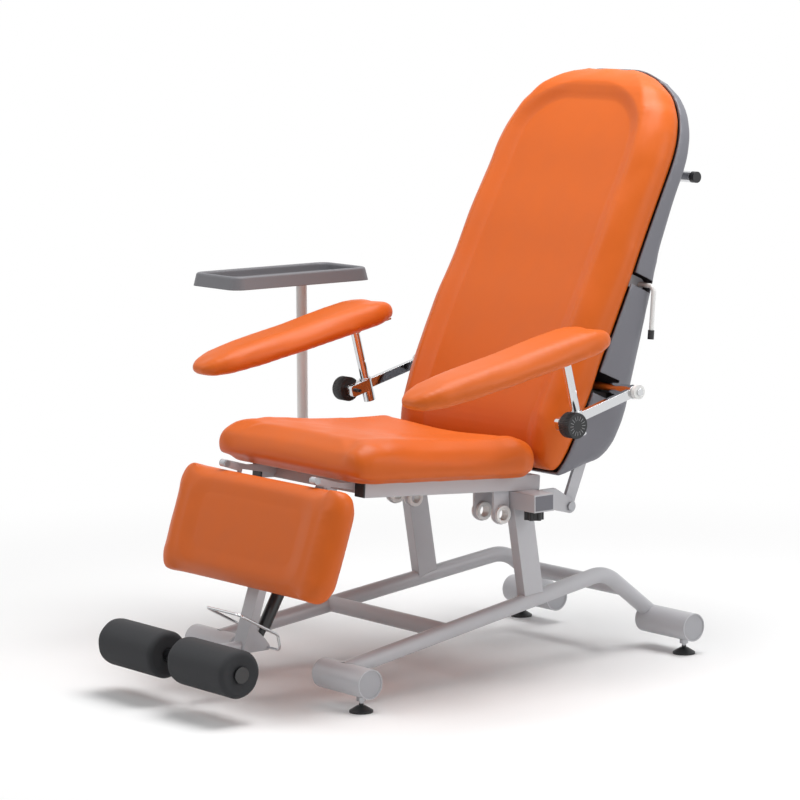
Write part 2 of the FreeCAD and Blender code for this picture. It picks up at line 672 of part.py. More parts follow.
def build_seat_frame(socket_skin):
    """Rails, cross bars, lugs, hinge plates and brackets that carry seat, back and legrest."""
    frame = seat_frame()
    half = S.rail_height / 2
    rail_corners = [(-S.rail_front, -half, 0), (S.rail_rear - S.rail_edge, -half + S.rail_edge, S.rail_edge),
                    (S.rail_rear - S.rail_edge, half - S.rail_edge, S.rail_edge), (-S.rail_front, half, 0)]
    rail = plate("rail", rail_corners, "rail_width", "rail_reach - rail_width / 2")
    rails = group("rails_tilted", [rail, mirror("rail_right", rail)], frame)
    keep("seat_rails", cut("rails_notched", rails, socket_skin, mirror("socket_skin_right", socket_skin)))
    cap_corners = [(-S.rail_front - S.rail_cap + S.rail_edge / 2, -half + S.rail_edge / 2, S.rail_edge / 2),
                   (-S.rail_front, -half, 0), (-S.rail_front, half, 0),
                   (-S.rail_front - S.rail_cap + S.rail_edge / 2, half - S.rail_edge / 2, S.rail_edge / 2)]
    cap = plate("rail_cap_plate", cap_corners, "rail_width", "rail_reach - rail_width / 2")
    keep("rail_end_caps", cap, mirror("rail_cap_right", cap), frame=frame)

    inner = "(rail_reach - rail_width / 2)"
    bars = [block("seat_bar_" + name, ("2 * " + inner, "seat_bar_width", "seat_bar_height"),
                  ("-" + inner, depth + " - seat_bar_width / 2", "-rail_height / 2"))
            for name, depth in (("front", "front_bar_depth"), ("rear", "rear_bar_depth"))]
    keep("seat_cross_bars", *bars, frame=frame)

    lugs, bushes = [], []
    hole = [(S.lug_depth, -S.lug_drop, S.bush_diameter / 2)]
    for name, reach, rear in (("inner", "lug_inner_reach", S.lug_inner_top_rear),
                              ("outer", "lug_outer_reach", S.lug_outer_top_rear)):
        corners = [(S.lug_depth, -S.lug_drop, S.lug_nose_radius), (rear, -half, 0), (-S.lug_top_front, -half, 0)]
        lug = plate("lug_" + name, corners, "lug_thickness", reach + " - lug_thickness / 2", holes=hole)
        lugs += [lug, mirror("lug_%s_right" % name, lug)]
        place_of_bush = (reach + " - bush_length / 2", "lug_depth", "-lug_drop")
        skin = rod("bush_skin_" + name, "bush_diameter", "bush_length", place_of_bush, "x")
        bore = rod("bush_bore_" + name, "bush_bore", "bush_length + 2 * overrun",
                   (reach + " - bush_length / 2 - overrun", "lug_depth", "-lug_drop"), "x")
        bush = cut("bush_" + name, skin, bore)
        bushes += [bush, mirror("bush_%s_right" % name, bush)]
    keep("lift_lugs", *lugs, frame=frame)
    keep("lug_bushes", *bushes, frame=frame)

    rear_face = S.socket_depth + S.socket_width / 2
    edge = S.rail_edge
    corners = [(rear_face, S.hinge_plate_floor, 0), (S.hinge_depth, S.hinge_height, S.hinge_nose_radius),
               (S.hinge_plate_neck, S.hinge_plate_top - edge, edge), (rear_face, S.hinge_plate_top, 0)]
    pin_hole = [(S.hinge_depth, S.hinge_height, S.hinge_pin_diameter / 2)]
    hinge_plate = plate("hinge_plate", corners, "hinge_plate_thickness", "rail_reach + rail_width / 2", holes=pin_hole)
    keep("hinge_plates", hinge_plate, mirror("hinge_plate_right", hinge_plate))
    outer = "rail_reach + rail_width / 2 + hinge_plate_thickness"
    bar_inner = "rail_reach + rail_width / 2 - 2 * side_gap - back_bar_thickness"
    hinge_pin = cross_pin("hinge_pin", "hinge_pin_diameter", "hinge_head_diameter", "hinge_head_height",
                          bar_inner, outer, "hinge_depth", "hinge_height")
    leg_outer = "rail_reach - rail_width / 2"
    leg_inner = leg_outer + " - 2 * leg_lug_thickness - 2 * side_gap"
    leg_pin = cross_pin("leg_pin", "leg_pin_diameter", "2 * leg_ear_radius", "leg_pin_diameter / 2",
                        leg_inner, leg_outer, "leg_hinge_depth", "leg_hinge_height")
    keep("hinge_pins", hinge_pin, mirror("hinge_pin_right", hinge_pin), leg_pin, mirror("leg_pin_right", leg_pin))

    lug_corners = leg_lug_corners()
    lug_hole = [(-S.leg_hinge_front, S.leg_hinge_rise, S.leg_pin_diameter / 2)]
    leg_lug = plate("leg_lug", lug_corners, "leg_lug_thickness", leg_outer + " - leg_lug_thickness", holes=lug_hole)
    keep("legrest_lugs", leg_lug, mirror("leg_lug_right", leg_lug), frame=frame)

    gap = "spring_eye_width / 2 + spring_plate_gap"
    radius = S.spring_eye_diameter / 2
    back_corners = [(S.rear_bar_depth + S.seat_bar_width / 2, -half, 0),
                    (S.back_anchor_depth, -S.back_anchor_drop, radius),
                    (S.rear_bar_depth + S.seat_bar_width / 2, -half + S.seat_bar_height, 0)]
    leg_corners = [(S.leg_anchor_depth, -S.leg_anchor_drop, radius),
                   (S.front_bar_depth + S.seat_bar_width / 2, -half, 0),
                   (S.front_bar_depth - S.seat_bar_width / 2, -half, 0)]
    back_plate = plate("back_anchor_plate", back_corners, "spring_plate_thickness", gap)
    leg_plate = plate("leg_anchor_plate", leg_corners, "spring_plate_thickness", gap)
    length = "spring_eye_width + 2 * spring_plate_gap + 2 * spring_plate_thickness"
    back_pin = rod("back_anchor_pin", "spring_pin_diameter", length,
                   ("-(" + length + ") / 2", "back_anchor_depth", "-back_anchor_drop"), "x")
    leg_pin = rod("leg_anchor_pin", "spring_pin_diameter", length,
                  ("-(" + length + ") / 2", "leg_anchor_depth", "-leg_anchor_drop"), "x")
    back_anchor = fuse("back_anchor", back_plate, mirror("back_anchor_plate_right", back_plate), back_pin)
    leg_anchor = fuse("leg_anchor", leg_plate, mirror("leg_anchor_plate_right", leg_plate), leg_pin)
    keep("spring_anchors", back_anchor, leg_anchor, frame=frame)


def cross_pin(name, diameter, head_diameter, head_height, inner, outer, depth, height):
    """Pin across the chair with a round head outside and a hexagon nut inside its grip."""
    shaft = rod(name + "_shaft", diameter, outer + " - (" + inner + ")", (inner, depth, height), "x")
    head = rod(name + "_head", head_diameter, head_height, (outer, depth, height), "x")
    nut = hexagon(name + "_nut", head_diameter, head_height, (inner + " - " + head_height, depth, height), "x")
    return fuse(name, shaft, head, nut)


def leg_lug_corners():
    """Outline of the lug from the rail to the legrest hinge."""
    rear = S.front_bar_depth - S.seat_bar_width / 2
    return [(-S.leg_hinge_front, S.leg_hinge_rise, S.leg_ear_radius), (rear, S.leg_lug_floor, 0),
            (rear, S.leg_lug_top, 0), (-S.seat_board_front, S.leg_lug_top, 0)]


def build_seat():
    """Seat board and cushion."""
    corner = S.board_corner
    reach = S.seat_board_reach - corner
    outline = [(-reach, -S.seat_board_front + corner, corner), (reach, -S.seat_board_front + corner, corner),
               (reach, S.seat_board_rear - corner, corner), (-reach, S.seat_board_rear - corner, corner)]
    keep("seat_board", plate("seat_board_panel", outline, "board_thickness", "rail_height / 2", "XY_Plane"),
         frame=seat_frame())

    def point(level, across, up):
        return Vector(across, S.seat_rear - level, S.rail_height / 2 + S.board_thickness + up)
    keep("seat_cushion", cushion("seat_pad", SEAT_SHARES, S.seat_length, S.seat_half_width, S.seat_thickness,
                                 PANEL_SHARES["seat"], point), frame=seat_frame())


def back_frame():
    """Frame of the back at the recline hinge: z runs up the back, -y points to the sitter."""
    return Placement(Vector(0, S.hinge_depth, S.hinge_height), Rotation(X_AXIS, -S.back_tilt))


def back_point(level, across, up):
    """Point of the back from its rise over the lower end, reach and distance in front of the hinge."""
    return Vector(across, -up, S.back_start + level)


def back_half_width(share):
    """Half width of the shell at a share of the back's width."""
    return share * S.back_half_width - S.shell_inset


def shell_section(point, half_width, rear, front, corner):
    """U-shaped outline of the shell with round rear corners."""
    cut_corner = corner * (1 - math.sqrt(0.5))
    right = Part.LineSegment(point(half_width, front), point(half_width, rear + corner))
    right_corner = Part.Arc(point(half_width, rear + corner), point(half_width - cut_corner, rear + cut_corner),
                            point(half_width - corner, rear))
    back = Part.LineSegment(point(half_width - corner, rear), point(corner - half_width, rear))
    left_corner = Part.Arc(point(corner - half_width, rear), point(cut_corner - half_width, rear + cut_corner),
                           point(-half_width, rear + corner))
    left = Part.LineSegment(point(-half_width, rear + corner), point(-half_width, front))
    mouth = Part.LineSegment(point(-half_width, front), point(half_width, front))
    return Part.Wire([edge.toShape() for edge in (right, right_corner, back, left_corner, left, mouth)])


def shell_loft(wall):
    """Loft of the shell, drawn in by a wall all round and run out of its mouth when the wall is not zero."""
    sections = []
    for level, wide, seam, _front, rear in BACK_SHARES:
        front_face = seam * S.back_depth - S.seam_gap
        rear_face = rear * S.back_depth
        corner = min(S.shell_corner, (front_face - rear_face) / 2)
        if wall > 0:
            rear_face += wall
            front_face += S.overrun
            corner = min(corner, S.shell_corner - wall)
        rise = wall + level * (S.back_length - 2 * wall)

        def at(across, up, rise=rise):
            return back_point(rise, across, up)
        sections.append(shell_section(at, back_half_width(wide) - wall, rear_face, front_face, corner))
    return loft(sections)


def board_loft(beyond):
    """Curved back board that follows the back face of the cushion, its front moved on by a distance."""
    sections = []
    for level, wide, seam, _front, _rear in BACK_SHARES[2:-2]:
        front_face = seam * S.back_depth - S.board_gap + beyond
        rear_face = front_face - S.back_board_thickness - beyond
        half = wide * BOARD_SHARE * S.back_half_width
        rise = level * S.back_length
        corners = [back_point(rise, half, rear_face), back_point(rise, half, front_face),
                   back_point(rise, -half, front_face), back_point(rise, -half, rear_face)]
        sections.append(Part.makePolygon(corners + corners[:1]))
    return loft(sections)


def build_back():
    """Bars, board, cushion, shell, push handle and arm cross tube of the back."""
    frame = back_frame()
    keep("back_board", solid("back_board_panel", board_loft(0)), frame=frame)
    board_space = solid("back_board_space", board_loft(S.back_depth))
    stations = [station[:4] for station in BACK_SHARES]
    keep("back_cushion", cushion("back_pad", stations, S.back_length, S.back_half_width, S.back_depth,
                                 PANEL_SHARES["back"], back_point), frame=frame)

    half = S.back_bar_width / 2
    front = -S.back_depth * BACK_SHARES[3][2]
    start = "rail_reach + rail_width / 2 - side_gap - back_bar_thickness"
    strip = plate("back_strip", [(0, 0, half), (0, S.back_bar_length, half)], "back_bar_thickness", start,
                  holes=[(0, 0, S.hinge_pin_diameter / 2 + S.running_gap)])
    low = S.back_cross_low - S.standoff_width / 2
    low_arm = plate("back_low_arm", [(front, low, 0), (0, low, 0), (0, low + S.standoff_width, 0),
                                     (front, low + S.standoff_width, 0)], "back_bar_thickness", start)
    spread = S.standoff_width
    rise = S.arm_rise
    high_arm = plate("back_high_arm", [(front, rise - spread, 0), (0, rise - spread, 0), (0, rise, 0),
                                       (front, rise + spread, 0)], "back_bar_thickness", start,
                     holes=[(-S.arm_front, S.arm_rise, S.arm_tube_diameter / 2)])
    bar = cut("back_bar", fuse("back_bar_full", strip, low_arm, high_arm), board_space)
    keep("back_bars", bar, mirror("back_bar_right", bar), frame=frame)

    half_length = "(rail_reach + rail_width / 2 - side_gap - back_bar_thickness)"
    bars = [block("back_cross_" + name, ("2 * " + half_length, "back_cross_height", "back_cross_width"),
                  ("-" + half_length, "-back_cross_height / 2", rise + " - back_cross_width / 2"))
            for name, rise in (("low", "back_cross_low"), ("high", "back_cross_high"))]
    eye = S.spring_eye_diameter / 2
    cross = S.back_cross_high
    plate_corners = [(-S.back_cross_height / 2, cross - S.back_cross_width / 2, 0),
                     (S.back_cross_height / 2, cross - S.back_cross_width / 2, 0),
                     (S.back_cross_height / 2, cross + S.back_cross_width / 2, 0),
                     (-S.back_pivot_front, S.back_pivot_rise, eye)]
    lug = plate("back_spring_plate", plate_corners, "spring_plate_thickness",
                "spring_eye_width / 2 + spring_plate_gap")
    lugs = fuse("back_high_bar", bars[1], lug, mirror("back_spring_plate_right", lug))
    lever_half = S.lever_plate_half
    lever_corners = [(front, S.lever_rise - lever_half, 0), (-S.lever_front, S.lever_rise, lever_half),
                     (front, S.lever_rise + lever_half, 0)]
    lever_plate = plate("lever_plate", lever_corners, "lever_plate_thickness", "lever_plate_start",
                        holes=[(-S.lever_front, S.lever_rise, S.lever_diameter / 2 + S.running_gap)])
    keep("back_cross_bars", bars[0], lugs, cut("lever_bracket", lever_plate, board_space), frame=frame)

    handle_bar = rod("handle_bar", "handle_diameter", "2 * (handle_reach - handle_cap)",
                     ("-(handle_reach - handle_cap)", "handle_back", "handle_rise"), "x")
    arm = rod("handle_arm", "handle_arm_diameter", "handle_back + handle_front",
              ("handle_arm_reach", "-handle_front", "handle_rise"), "y")
    arms = cut("handle_arms", group("handle_arm_pair", [arm, mirror("handle_arm_right", arm)]), board_space)
    keep("push_handle", fuse("handle_whole", handle_bar, arms), frame=frame)
    cap = rod("handle_cap_disc", "handle_diameter", "handle_cap",
              ("handle_reach - handle_cap", "handle_back", "handle_rise"), "x")
    keep("handle_caps", cap, mirror("handle_cap_right", cap), frame=frame)

    outer = solid("shell_outer", shell_loft(0))
    inner = solid("shell_inner", shell_loft(S.shell_wall))
    side = "slot_start"
    tools = [
        inner,
        block("bar_slot_left", ("back_bar_thickness + 2 * bar_slot_gap", "back_bar_width + 2 * bar_slot_gap",
                                "back_cross_low"), (start + " - bar_slot_gap", "-back_bar_width / 2 - bar_slot_gap", "0")),
        block("spring_slot", ("2 * spring_slot_reach", "spring_slot_front - spring_slot_rear", "spring_slot_top"),
              ("-spring_slot_reach", "-spring_slot_front", "0")),
        block("arm_slot_left", ("back_half_width", "back_depth - arm_front + arm_slot_half", "2 * arm_slot_half"),
              (side, "-back_depth", "arm_rise - arm_slot_half")),
        block("lever_slot", ("back_half_width", "back_depth - lever_front + slot_height / 2", "slot_height"),
              (side, "-back_depth", "lever_rise - slot_height / 2")),
        rod("handle_hole_left", "handle_arm_diameter + 2 * running_gap", "back_depth",
            ("handle_arm_reach", "-handle_front", "handle_rise"), "y"),
    ]
    mirrored = [mirror(name, tools[number]) for name, number in
                (("bar_slot_right", 1), ("arm_slot_right", 3), ("handle_hole_right", 5))]
    keep("back_shell", cut("back_shell_open", outer, *tools, *mirrored), frame=frame)

    tube_end = "(arm_reach - arm_bar_width / 2 - side_gap)"
    cross = rod("arm_tube", "arm_tube_diameter", "2 * " + tube_end, ("-" + tube_end, "arm_depth", "arm_height"), "x")
    cap_start = "arm_reach + arm_bar_width / 2 + side_gap"
    pin = rod("arm_pin", "arm_pin_diameter", cap_start + " + arm_cap_thickness - " + tube_end,
              (tube_end, "arm_depth", "arm_height"), "x")
    screw = hexagon("arm_screw", "arm_screw_diameter", "arm_screw_height",
                    (cap_start + " + arm_cap_thickness", "arm_depth", "arm_height"), "x")
    end = fuse("arm_tube_end", pin, screw)
    keep("arm_cross_tube", fuse("arm_tube_whole", cross, end, mirror("arm_tube_end_right", end)))
    disc = rod("arm_cap_disc", "arm_cap_diameter", "arm_cap_thickness", (cap_start, "arm_depth", "arm_height"), "x")
    ring = cut("arm_cap_ring", disc, pin)
    keep("arm_pivot_caps", ring, mirror("arm_cap_ring_right", ring))

    points = [Vector(S.lever_inner_reach, -S.lever_front, S.lever_rise),
              Vector(S.lever_reach, -S.lever_front, S.lever_rise),
              Vector(S.lever_reach, -S.lever_tip_front, S.lever_tip_rise)]
    keep("release_lever", bent_rod("lever_rod", points, S.lever_bend, S.lever_diameter), frame=frame)
    down = (points[2] - points[1]).normalize()
    tip_shape = Part.makeCylinder(S.grip_diameter / 2, S.grip_length, points[2], down)
    keep("release_grip", solid("lever_grip", tip_shape), frame=frame)


def build_spring(name, anchor, pivot, cylinder_length):
    """Gas spring: rod from its anchor on the seat frame, cylinder from its pivot on the moving part."""
    length = (pivot - anchor).Length
    eye = S.spring_eye_diameter / 2
    half = S.spring_eye_width / 2
    axis = Rotation(Vector(0, 0, 1), pivot - anchor)
    frame = Placement(anchor, axis)
    across = axis.inverted().multVec(X_AXIS)
    reach = across * half
    eye_low = Part.makeCylinder(eye, S.spring_eye_width, -reach, across)
    pin_bore = Part.makeCylinder(S.spring_pin_diameter / 2 + S.running_gap, S.spring_eye_width, -reach, across)
    rod_skin = Part.makeCylinder(S.spring_rod_diameter / 2, length - S.spring_neck_length - eye)
    rod_body = rod_skin.fuse(eye_low).cut(pin_bore).removeSplitter()
    top = Vector(0, 0, length)
    eye_high = Part.makeCylinder(eye, S.spring_eye_width, top - reach, across)
    neck = Part.makeCylinder(S.spring_neck_diameter / 2, S.spring_neck_length, top - Vector(0, 0, S.spring_neck_length))
    mouth = length - S.spring_neck_length - cylinder_length
    skin = Part.makeCylinder(S.spring_cylinder_diameter / 2, cylinder_length, Vector(0, 0, mouth))
    bore = Part.makeCylinder(S.spring_rod_diameter / 2 + S.running_gap, cylinder_length - eye / 2,
                             Vector(0, 0, mouth))
    body = skin.cut(bore).fuse([neck, eye_high]).removeSplitter()
    keep(name + "_rod", solid(name + "_rod_body", rod_body), frame=frame)
    keep(name + "_cylinder", solid(name + "_cylinder_body", body), frame=frame)


def build_arms():
    """Arm bars with clamps, clamp knobs, posts with plates, and arm cushions."""
    frame = Placement(Vector(0, S.arm_depth, S.arm_height), Rotation(X_AXIS, S.arm_tilt))
    half = S.arm_bar_height / 2
    eye = S.arm_eye_diameter / 2
    post = -S.post_distance
    start = "arm_reach - arm_bar_width / 2"
    strip = plate("arm_strip", [(post, -half, 0), (0, -half, 0), (0, half, 0), (post, half, 0)], "arm_bar_width", start)
    eye_plate = plate("arm_eye", [(-eye / 2, 0, eye), (0, 0, eye)], "arm_bar_width", start)
    eye_hole = rod("arm_eye_hole", "arm_pin_diameter + 2 * running_gap", "arm_bar_width + 2 * overrun",
                   (start + " - overrun", "0", "0"), "x")
    sleeve = rod("arm_sleeve", "sleeve_diameter", "sleeve_top + sleeve_foot",
                 ("arm_reach", "-post_distance", "-sleeve_foot"), "z")
    clamp_start = "arm_reach - clamp_width / 2"
    nose = S.clamp_nose
    clamp_half = S.clamp_height / 2
    clamp = plate("arm_clamp", [(-S.clamp_distance - nose + clamp_half / 2, -clamp_half / 2, clamp_half / 2),
                                (post, -clamp_half, 0), (post, clamp_half, 0),
                                (-S.clamp_distance - nose + clamp_half / 2, clamp_half / 2, clamp_half / 2)],
                  "clamp_width", clamp_start)
    bore = rod("arm_sleeve_bore", "post_diameter + 2 * running_gap", "sleeve_top + sleeve_foot + 2 * overrun",
               ("arm_reach", "-post_distance", "-sleeve_foot - overrun"), "z")
    slit = block("arm_slit", ("clamp_slit", "clamp_distance + 2 * clamp_nose - post_distance",
                              "sleeve_top + sleeve_foot + 2 * overrun"),
                 ("arm_reach - clamp_slit / 2", "-clamp_distance - 2 * clamp_nose", "-sleeve_foot - overrun"))
    bolt_hole = rod("arm_bolt_hole", "clamp_bolt_diameter + 2 * running_gap", "2 * clamp_width",
                    ("arm_reach - clamp_width", "-clamp_distance", "0"), "x")
    bar = cut("arm_bar", fuse("arm_bar_full", strip, eye_plate, sleeve, clamp), bore, slit, bolt_hole, eye_hole)
    knob_disc = rod("clamp_knob_disc", "clamp_knob_diameter", "clamp_knob_length",
                    (clamp_start + " + clamp_width + side_gap", "-clamp_distance", "0"), "x")
    bolt = rod("clamp_bolt", "clamp_bolt_diameter", "clamp_bolt_tip + clamp_width + clamp_knob_length / 2",
               (clamp_start + " - clamp_bolt_tip", "-clamp_distance", "0"), "x")
    knob = fuse("clamp_knob", knob_disc, bolt)
    keep_pair("arm_bar", bar, frame)
    keep_pair("clamp_knob", knob, frame)

    post_rod = rod("post_rod", "post_diameter", "post_top + post_foot", ("arm_reach", "-post_distance", "-post_foot"),
                   "z")
    post_full = group("post_tilted", [post_rod], frame)
    pad_frame = Placement(Vector(0, S.pad_depth, S.pad_height), Rotation(X_AXIS, S.pad_tilt))
    pad_plate = block("pad_plate", ("pad_plate_width", "pad_plate_length", "pad_plate_thickness"),
                      ("arm_reach - pad_plate_width / 2", "-pad_plate_length / 2", "-pad_plate_thickness"))
    boss = rod("pad_boss", "pad_boss_diameter", "pad_boss_height",
               ("arm_reach", "0", "-pad_plate_thickness - pad_boss_height"), "z")
    pad_steel = group("pad_steel", [fuse("pad_plate_boss", pad_plate, boss)], pad_frame)
    keep_pair("arm_post", fuse("arm_post_whole", post_full, pad_steel), Placement())

    def point(level, across, up):
        return Vector(S.pad_reach + across, S.pad_rear - level, up)
    pad = cushion("arm_pad", ARM_PAD_SHARES, S.pad_length, S.pad_half_width, S.pad_thickness, PANEL_SHARES["arm"],
                  point)
    keep_pair("arm_cushion", pad, pad_frame)


def keep_pair(name, left, frame):
    """A piece of the left side and its mirror image, as two sub-parts."""
    keep(name + "_left", group(name + "_left_group", [left], frame))
    keep(name + "_right", group(name + "_right_group", [mirror(name + "_mirrored", left)], frame))


def leg_frame():
    """Frame of the legrest at its hinge: z runs up the pad, -y points forward."""
    return Placement(Vector(0, S.leg_hinge_depth, S.leg_hinge_height), Rotation(X_AXIS, -S.leg_tilt))


def build_legrest():
    """Frame, board, cushion, roller axle, rollers and release loop of the legrest."""
    frame = leg_frame()

    def point(level, across, up):
        return Vector(across, S.leg_pad_back - up, -S.leg_pad_top - level)
    keep("legrest_cushion", cushion("leg_pad", LEGREST_SHARES, S.leg_pad_length, S.leg_pad_half_width,
                                    S.leg_pad_thickness, PANEL_SHARES["legrest"], point), frame=frame)
    corner = S.board_corner
    reach = S.leg_pad_half_width - S.leg_board_inset - corner
    top = S.leg_pad_top + S.leg_board_inset + corner
    bottom = S.leg_pad_top + S.leg_pad_length - S.leg_board_inset - corner
    outline = [(-reach, -bottom, corner), (reach, -bottom, corner), (reach, -top, corner), (-reach, -top, corner)]
    board_back = S.leg_pad_back + S.leg_board_thickness
    keep("legrest_board", plate("leg_board_panel", outline, "leg_board_thickness",
                                "-leg_pad_back - leg_board_thickness", "XZ_Plane"), frame=frame)

    ear = S.leg_ear_radius
    thickness = S.leg_lug_thickness
    ear_start = "rail_reach - rail_width / 2 - 2 * leg_lug_thickness - side_gap"
    pin_hole = [(0, 0, S.leg_pin_diameter / 2 + S.running_gap)]
    back = board_back + ear
    ear_arm = plate("leg_ear_arm", [(0, 0, ear), (back, -ear, 0), (back, 0, 0)], "leg_lug_thickness", ear_start,
                    holes=pin_hole)
    drop = S.leg_cross_drop + S.leg_cross_width / 2
    ear_leg = plate("leg_ear_leg", [(board_back, -drop, 0), (back, -drop, 0), (back, -ear / 2, 0),
                                    (board_back, -ear / 2, 0)], "leg_lug_thickness", ear_start)
    ear_whole = fuse("leg_ear", ear_arm, ear_leg)
    bar_back = "leg_pad_back + leg_board_thickness"
    cross = block("leg_cross_bar", ("2 * (" + ear_start + ")", "leg_bar_thickness", "leg_cross_width"),
                  ("-(" + ear_start + ")", bar_back, "-leg_cross_drop - leg_cross_width / 2"))
    upright = block("leg_upright", ("leg_bar_width", "leg_bar_thickness", "leg_bar_bottom - leg_cross_drop"),
                    ("-leg_bar_width / 2", bar_back, "-leg_bar_bottom"))
    rear = board_back + S.leg_bar_thickness
    eye = S.spring_eye_diameter / 2
    wire = S.loop_diameter
    bracket = plate("leg_bracket", [(rear, -S.leg_bar_bottom, 0), (S.loop_pivot_back, -S.loop_pivot_drop, wire),
                                    (S.leg_pivot_back, -S.leg_pivot_drop, eye),
                                    (rear, -S.leg_pivot_drop + 2 * eye, 0)],
                    "spring_plate_thickness", "spring_eye_width / 2 + spring_plate_gap",
                    holes=[(S.loop_pivot_back, -S.loop_pivot_drop, wire / 2 + S.running_gap)])
    half_bar = S.leg_bar_thickness / 2
    run = [Vector(0, rear - half_bar, -S.leg_bar_bottom + half_bar), Vector(0, -S.roller_front, -S.roller_drop)]
    direction = (run[1] - run[0]).normalize()
    arm_length = (run[1] - run[0]).Length
    foot_arm = solid("leg_foot_arm", Part.makeCylinder(S.axle_diameter / 2, arm_length, run[0], direction))
    keep("legrest_frame", fuse("legrest_frame_whole", ear_whole, mirror("leg_ear_right", ear_whole), cross, upright,
                               bracket, mirror("leg_bracket_right", bracket), foot_arm), frame=frame)

    axle = rod("roller_axle_bar", "axle_diameter", "2 * roller_outer_reach",
               ("-roller_outer_reach", "-roller_front", "-roller_drop"), "x")
    plug = rod("axle_plug", "axle_plug_diameter", "axle_plug_thickness",
               ("roller_outer_reach + side_gap", "-roller_front", "-roller_drop"), "x")
    neck = rod("axle_neck", "axle_diameter", "side_gap", ("roller_outer_reach", "-roller_front", "-roller_drop"), "x")
    end = fuse("axle_end", plug, neck)
    axle_full = fuse("axle_full", axle, end, mirror("axle_end_right", end))
    keep("roller_axle", cut("axle_saddled", axle_full, foot_arm), frame=frame)
    roller_length = "roller_outer_reach - roller_inner_reach"
    roller_skin = rod("roller_skin", "roller_diameter", roller_length,
                      ("roller_inner_reach", "-roller_front", "-roller_drop"), "x")
    doc.recompute()
    roller_edges = doc.addObject("Part::Chamfer", "roller_edges")
    roller_edges.Base = roller_skin
    roller_edges.Edges = [(number, S.roller_edge, S.roller_edge)
                          for number, edge in enumerate(roller_skin.Shape.Edges, 1) if len(edge.Vertexes) == 1]
    roller_bore = rod("roller_bore", "axle_diameter + 2 * side_gap", roller_length + " + 2 * overrun",
                      ("roller_inner_reach - overrun", "-roller_front", "-roller_drop"), "x")
    keep_pair("foam_roller", cut("roller", roller_edges, roller_bore), frame)

    inner = S.spring_eye_width / 2 + S.spring_plate_gap
    half = [Vector(inner, S.loop_pivot_back, -S.loop_pivot_drop),
            Vector(S.loop_reach, S.loop_pivot_back, -S.loop_pivot_drop),
            Vector(S.loop_reach, S.loop_elbow_back, -S.loop_elbow_drop),
            Vector(S.loop_reach, -S.loop_front, -S.loop_front_drop)]
    points = half + [Vector(-spot.x, spot.y, spot.z) for spot in reversed(half)]
    keep("release_loop", bent_rod("loop_wire", points, S.loop_bend, S.loop_diameter), frame=frame)


def build_tray():
    """Tray bar in the right socket, pole and tray."""
    width = "(socket_width - 2 * socket_wall - 2 * bar_gap)"
    height = "(socket_height - 2 * socket_wall - 2 * bar_gap)"
    floor = "socket_floor + socket_wall + bar_gap"
    front = "socket_depth - " + width + " / 2"
    pole_depth = front + " - pole_sleeve_diameter / 2"
    bar = block("tray_bar_body", ("tray_reach - tray_bar_inner + pole_sleeve_diameter / 2", width, height),
                ("-tray_reach - pole_sleeve_diameter / 2", front, floor))
    sleeve = rod("pole_sleeve", "pole_sleeve_diameter", "pole_sleeve_top - pole_sleeve_foot",
                 ("-tray_reach", pole_depth, "pole_sleeve_foot"), "z")
    web = block("pole_web", ("pole_sleeve_diameter", "pole_sleeve_diameter / 2", height),
                ("-tray_reach - pole_sleeve_diameter / 2", pole_depth, floor))
    bore = rod("pole_sleeve_bore", "pole_diameter + 2 * running_gap",
               "pole_sleeve_top - pole_sleeve_foot + 2 * overrun",
               ("-tray_reach", pole_depth, "pole_sleeve_foot - overrun"), "z")
    keep("tray_bar", cut("tray_bar_bored", fuse("tray_bar_whole", bar, sleeve, web), bore))
    plate_floor = "tray_floor_height - tray_plate_thickness - side_gap"
    keep("tray_pole", rod("pole_body", "pole_diameter", plate_floor + " - pole_foot",
                          ("-tray_reach", pole_depth, "pole_foot"), "z"))

    corner = S.tray_corner
    draft = S.tray_draft
    floor_z = S.tray_floor_height

    def outline(half_x, half_y, radius, z):
        edges = hull_edges([(-half_x + radius, -half_y + radius, radius), (half_x - radius, -half_y + radius, radius),
                            (half_x - radius, half_y - radius, radius), (-half_x + radius, half_y - radius, radius)])
        wire = Part.Wire([edge.toShape() for edge in edges])
        wire.translate(Vector(-S.tray_reach, S.tray_centre_depth, z))
        return wire
    half_x, half_y = S.tray_width / 2, S.tray_length / 2
    wall = S.tray_wall
    skin = Part.makeLoft([outline(half_x - draft, half_y - draft, corner - draft, floor_z),
                          outline(half_x, half_y, corner, floor_z + S.tray_height)], True, True)
    hollow = Part.makeLoft([outline(half_x - draft - wall, half_y - draft - wall, corner - draft - wall,
                                    floor_z + S.tray_floor),
                            outline(half_x - wall, half_y - wall, corner - wall, floor_z + S.tray_height)],
                           True, True)
    shell = cut("tray_shell", solid("tray_skin", skin), solid("tray_hollow", hollow))
    base = rod("tray_plate", "tray_plate_diameter", "tray_plate_thickness",
               ("-tray_reach", pole_depth, "tray_floor_height - tray_plate_thickness"), "z")
    keep("tray", fuse("tray_whole", shell, base))


def check_and_write():
    """Recompute, refuse failed features and bad shapes, then write one file for each sub-part."""
    doc.recompute()
    for item in doc.Objects:
        if "Invalid" in item.State or "Error" in item.State:
            raise RuntimeError("feature failed: " + item.Label)
    for label, item in PIECES.items():
        if item.Shape.isNull() or not item.Shape.isValid() or not item.Shape.Solids:
            raise RuntimeError("bad shape: " + label)
    os.makedirs("parts", exist_ok=True)
    for label, item in PIECES.items():
        item.Shape.exportStep("parts/" + label + ".step")
    print(len(PIECES), "sub-parts")


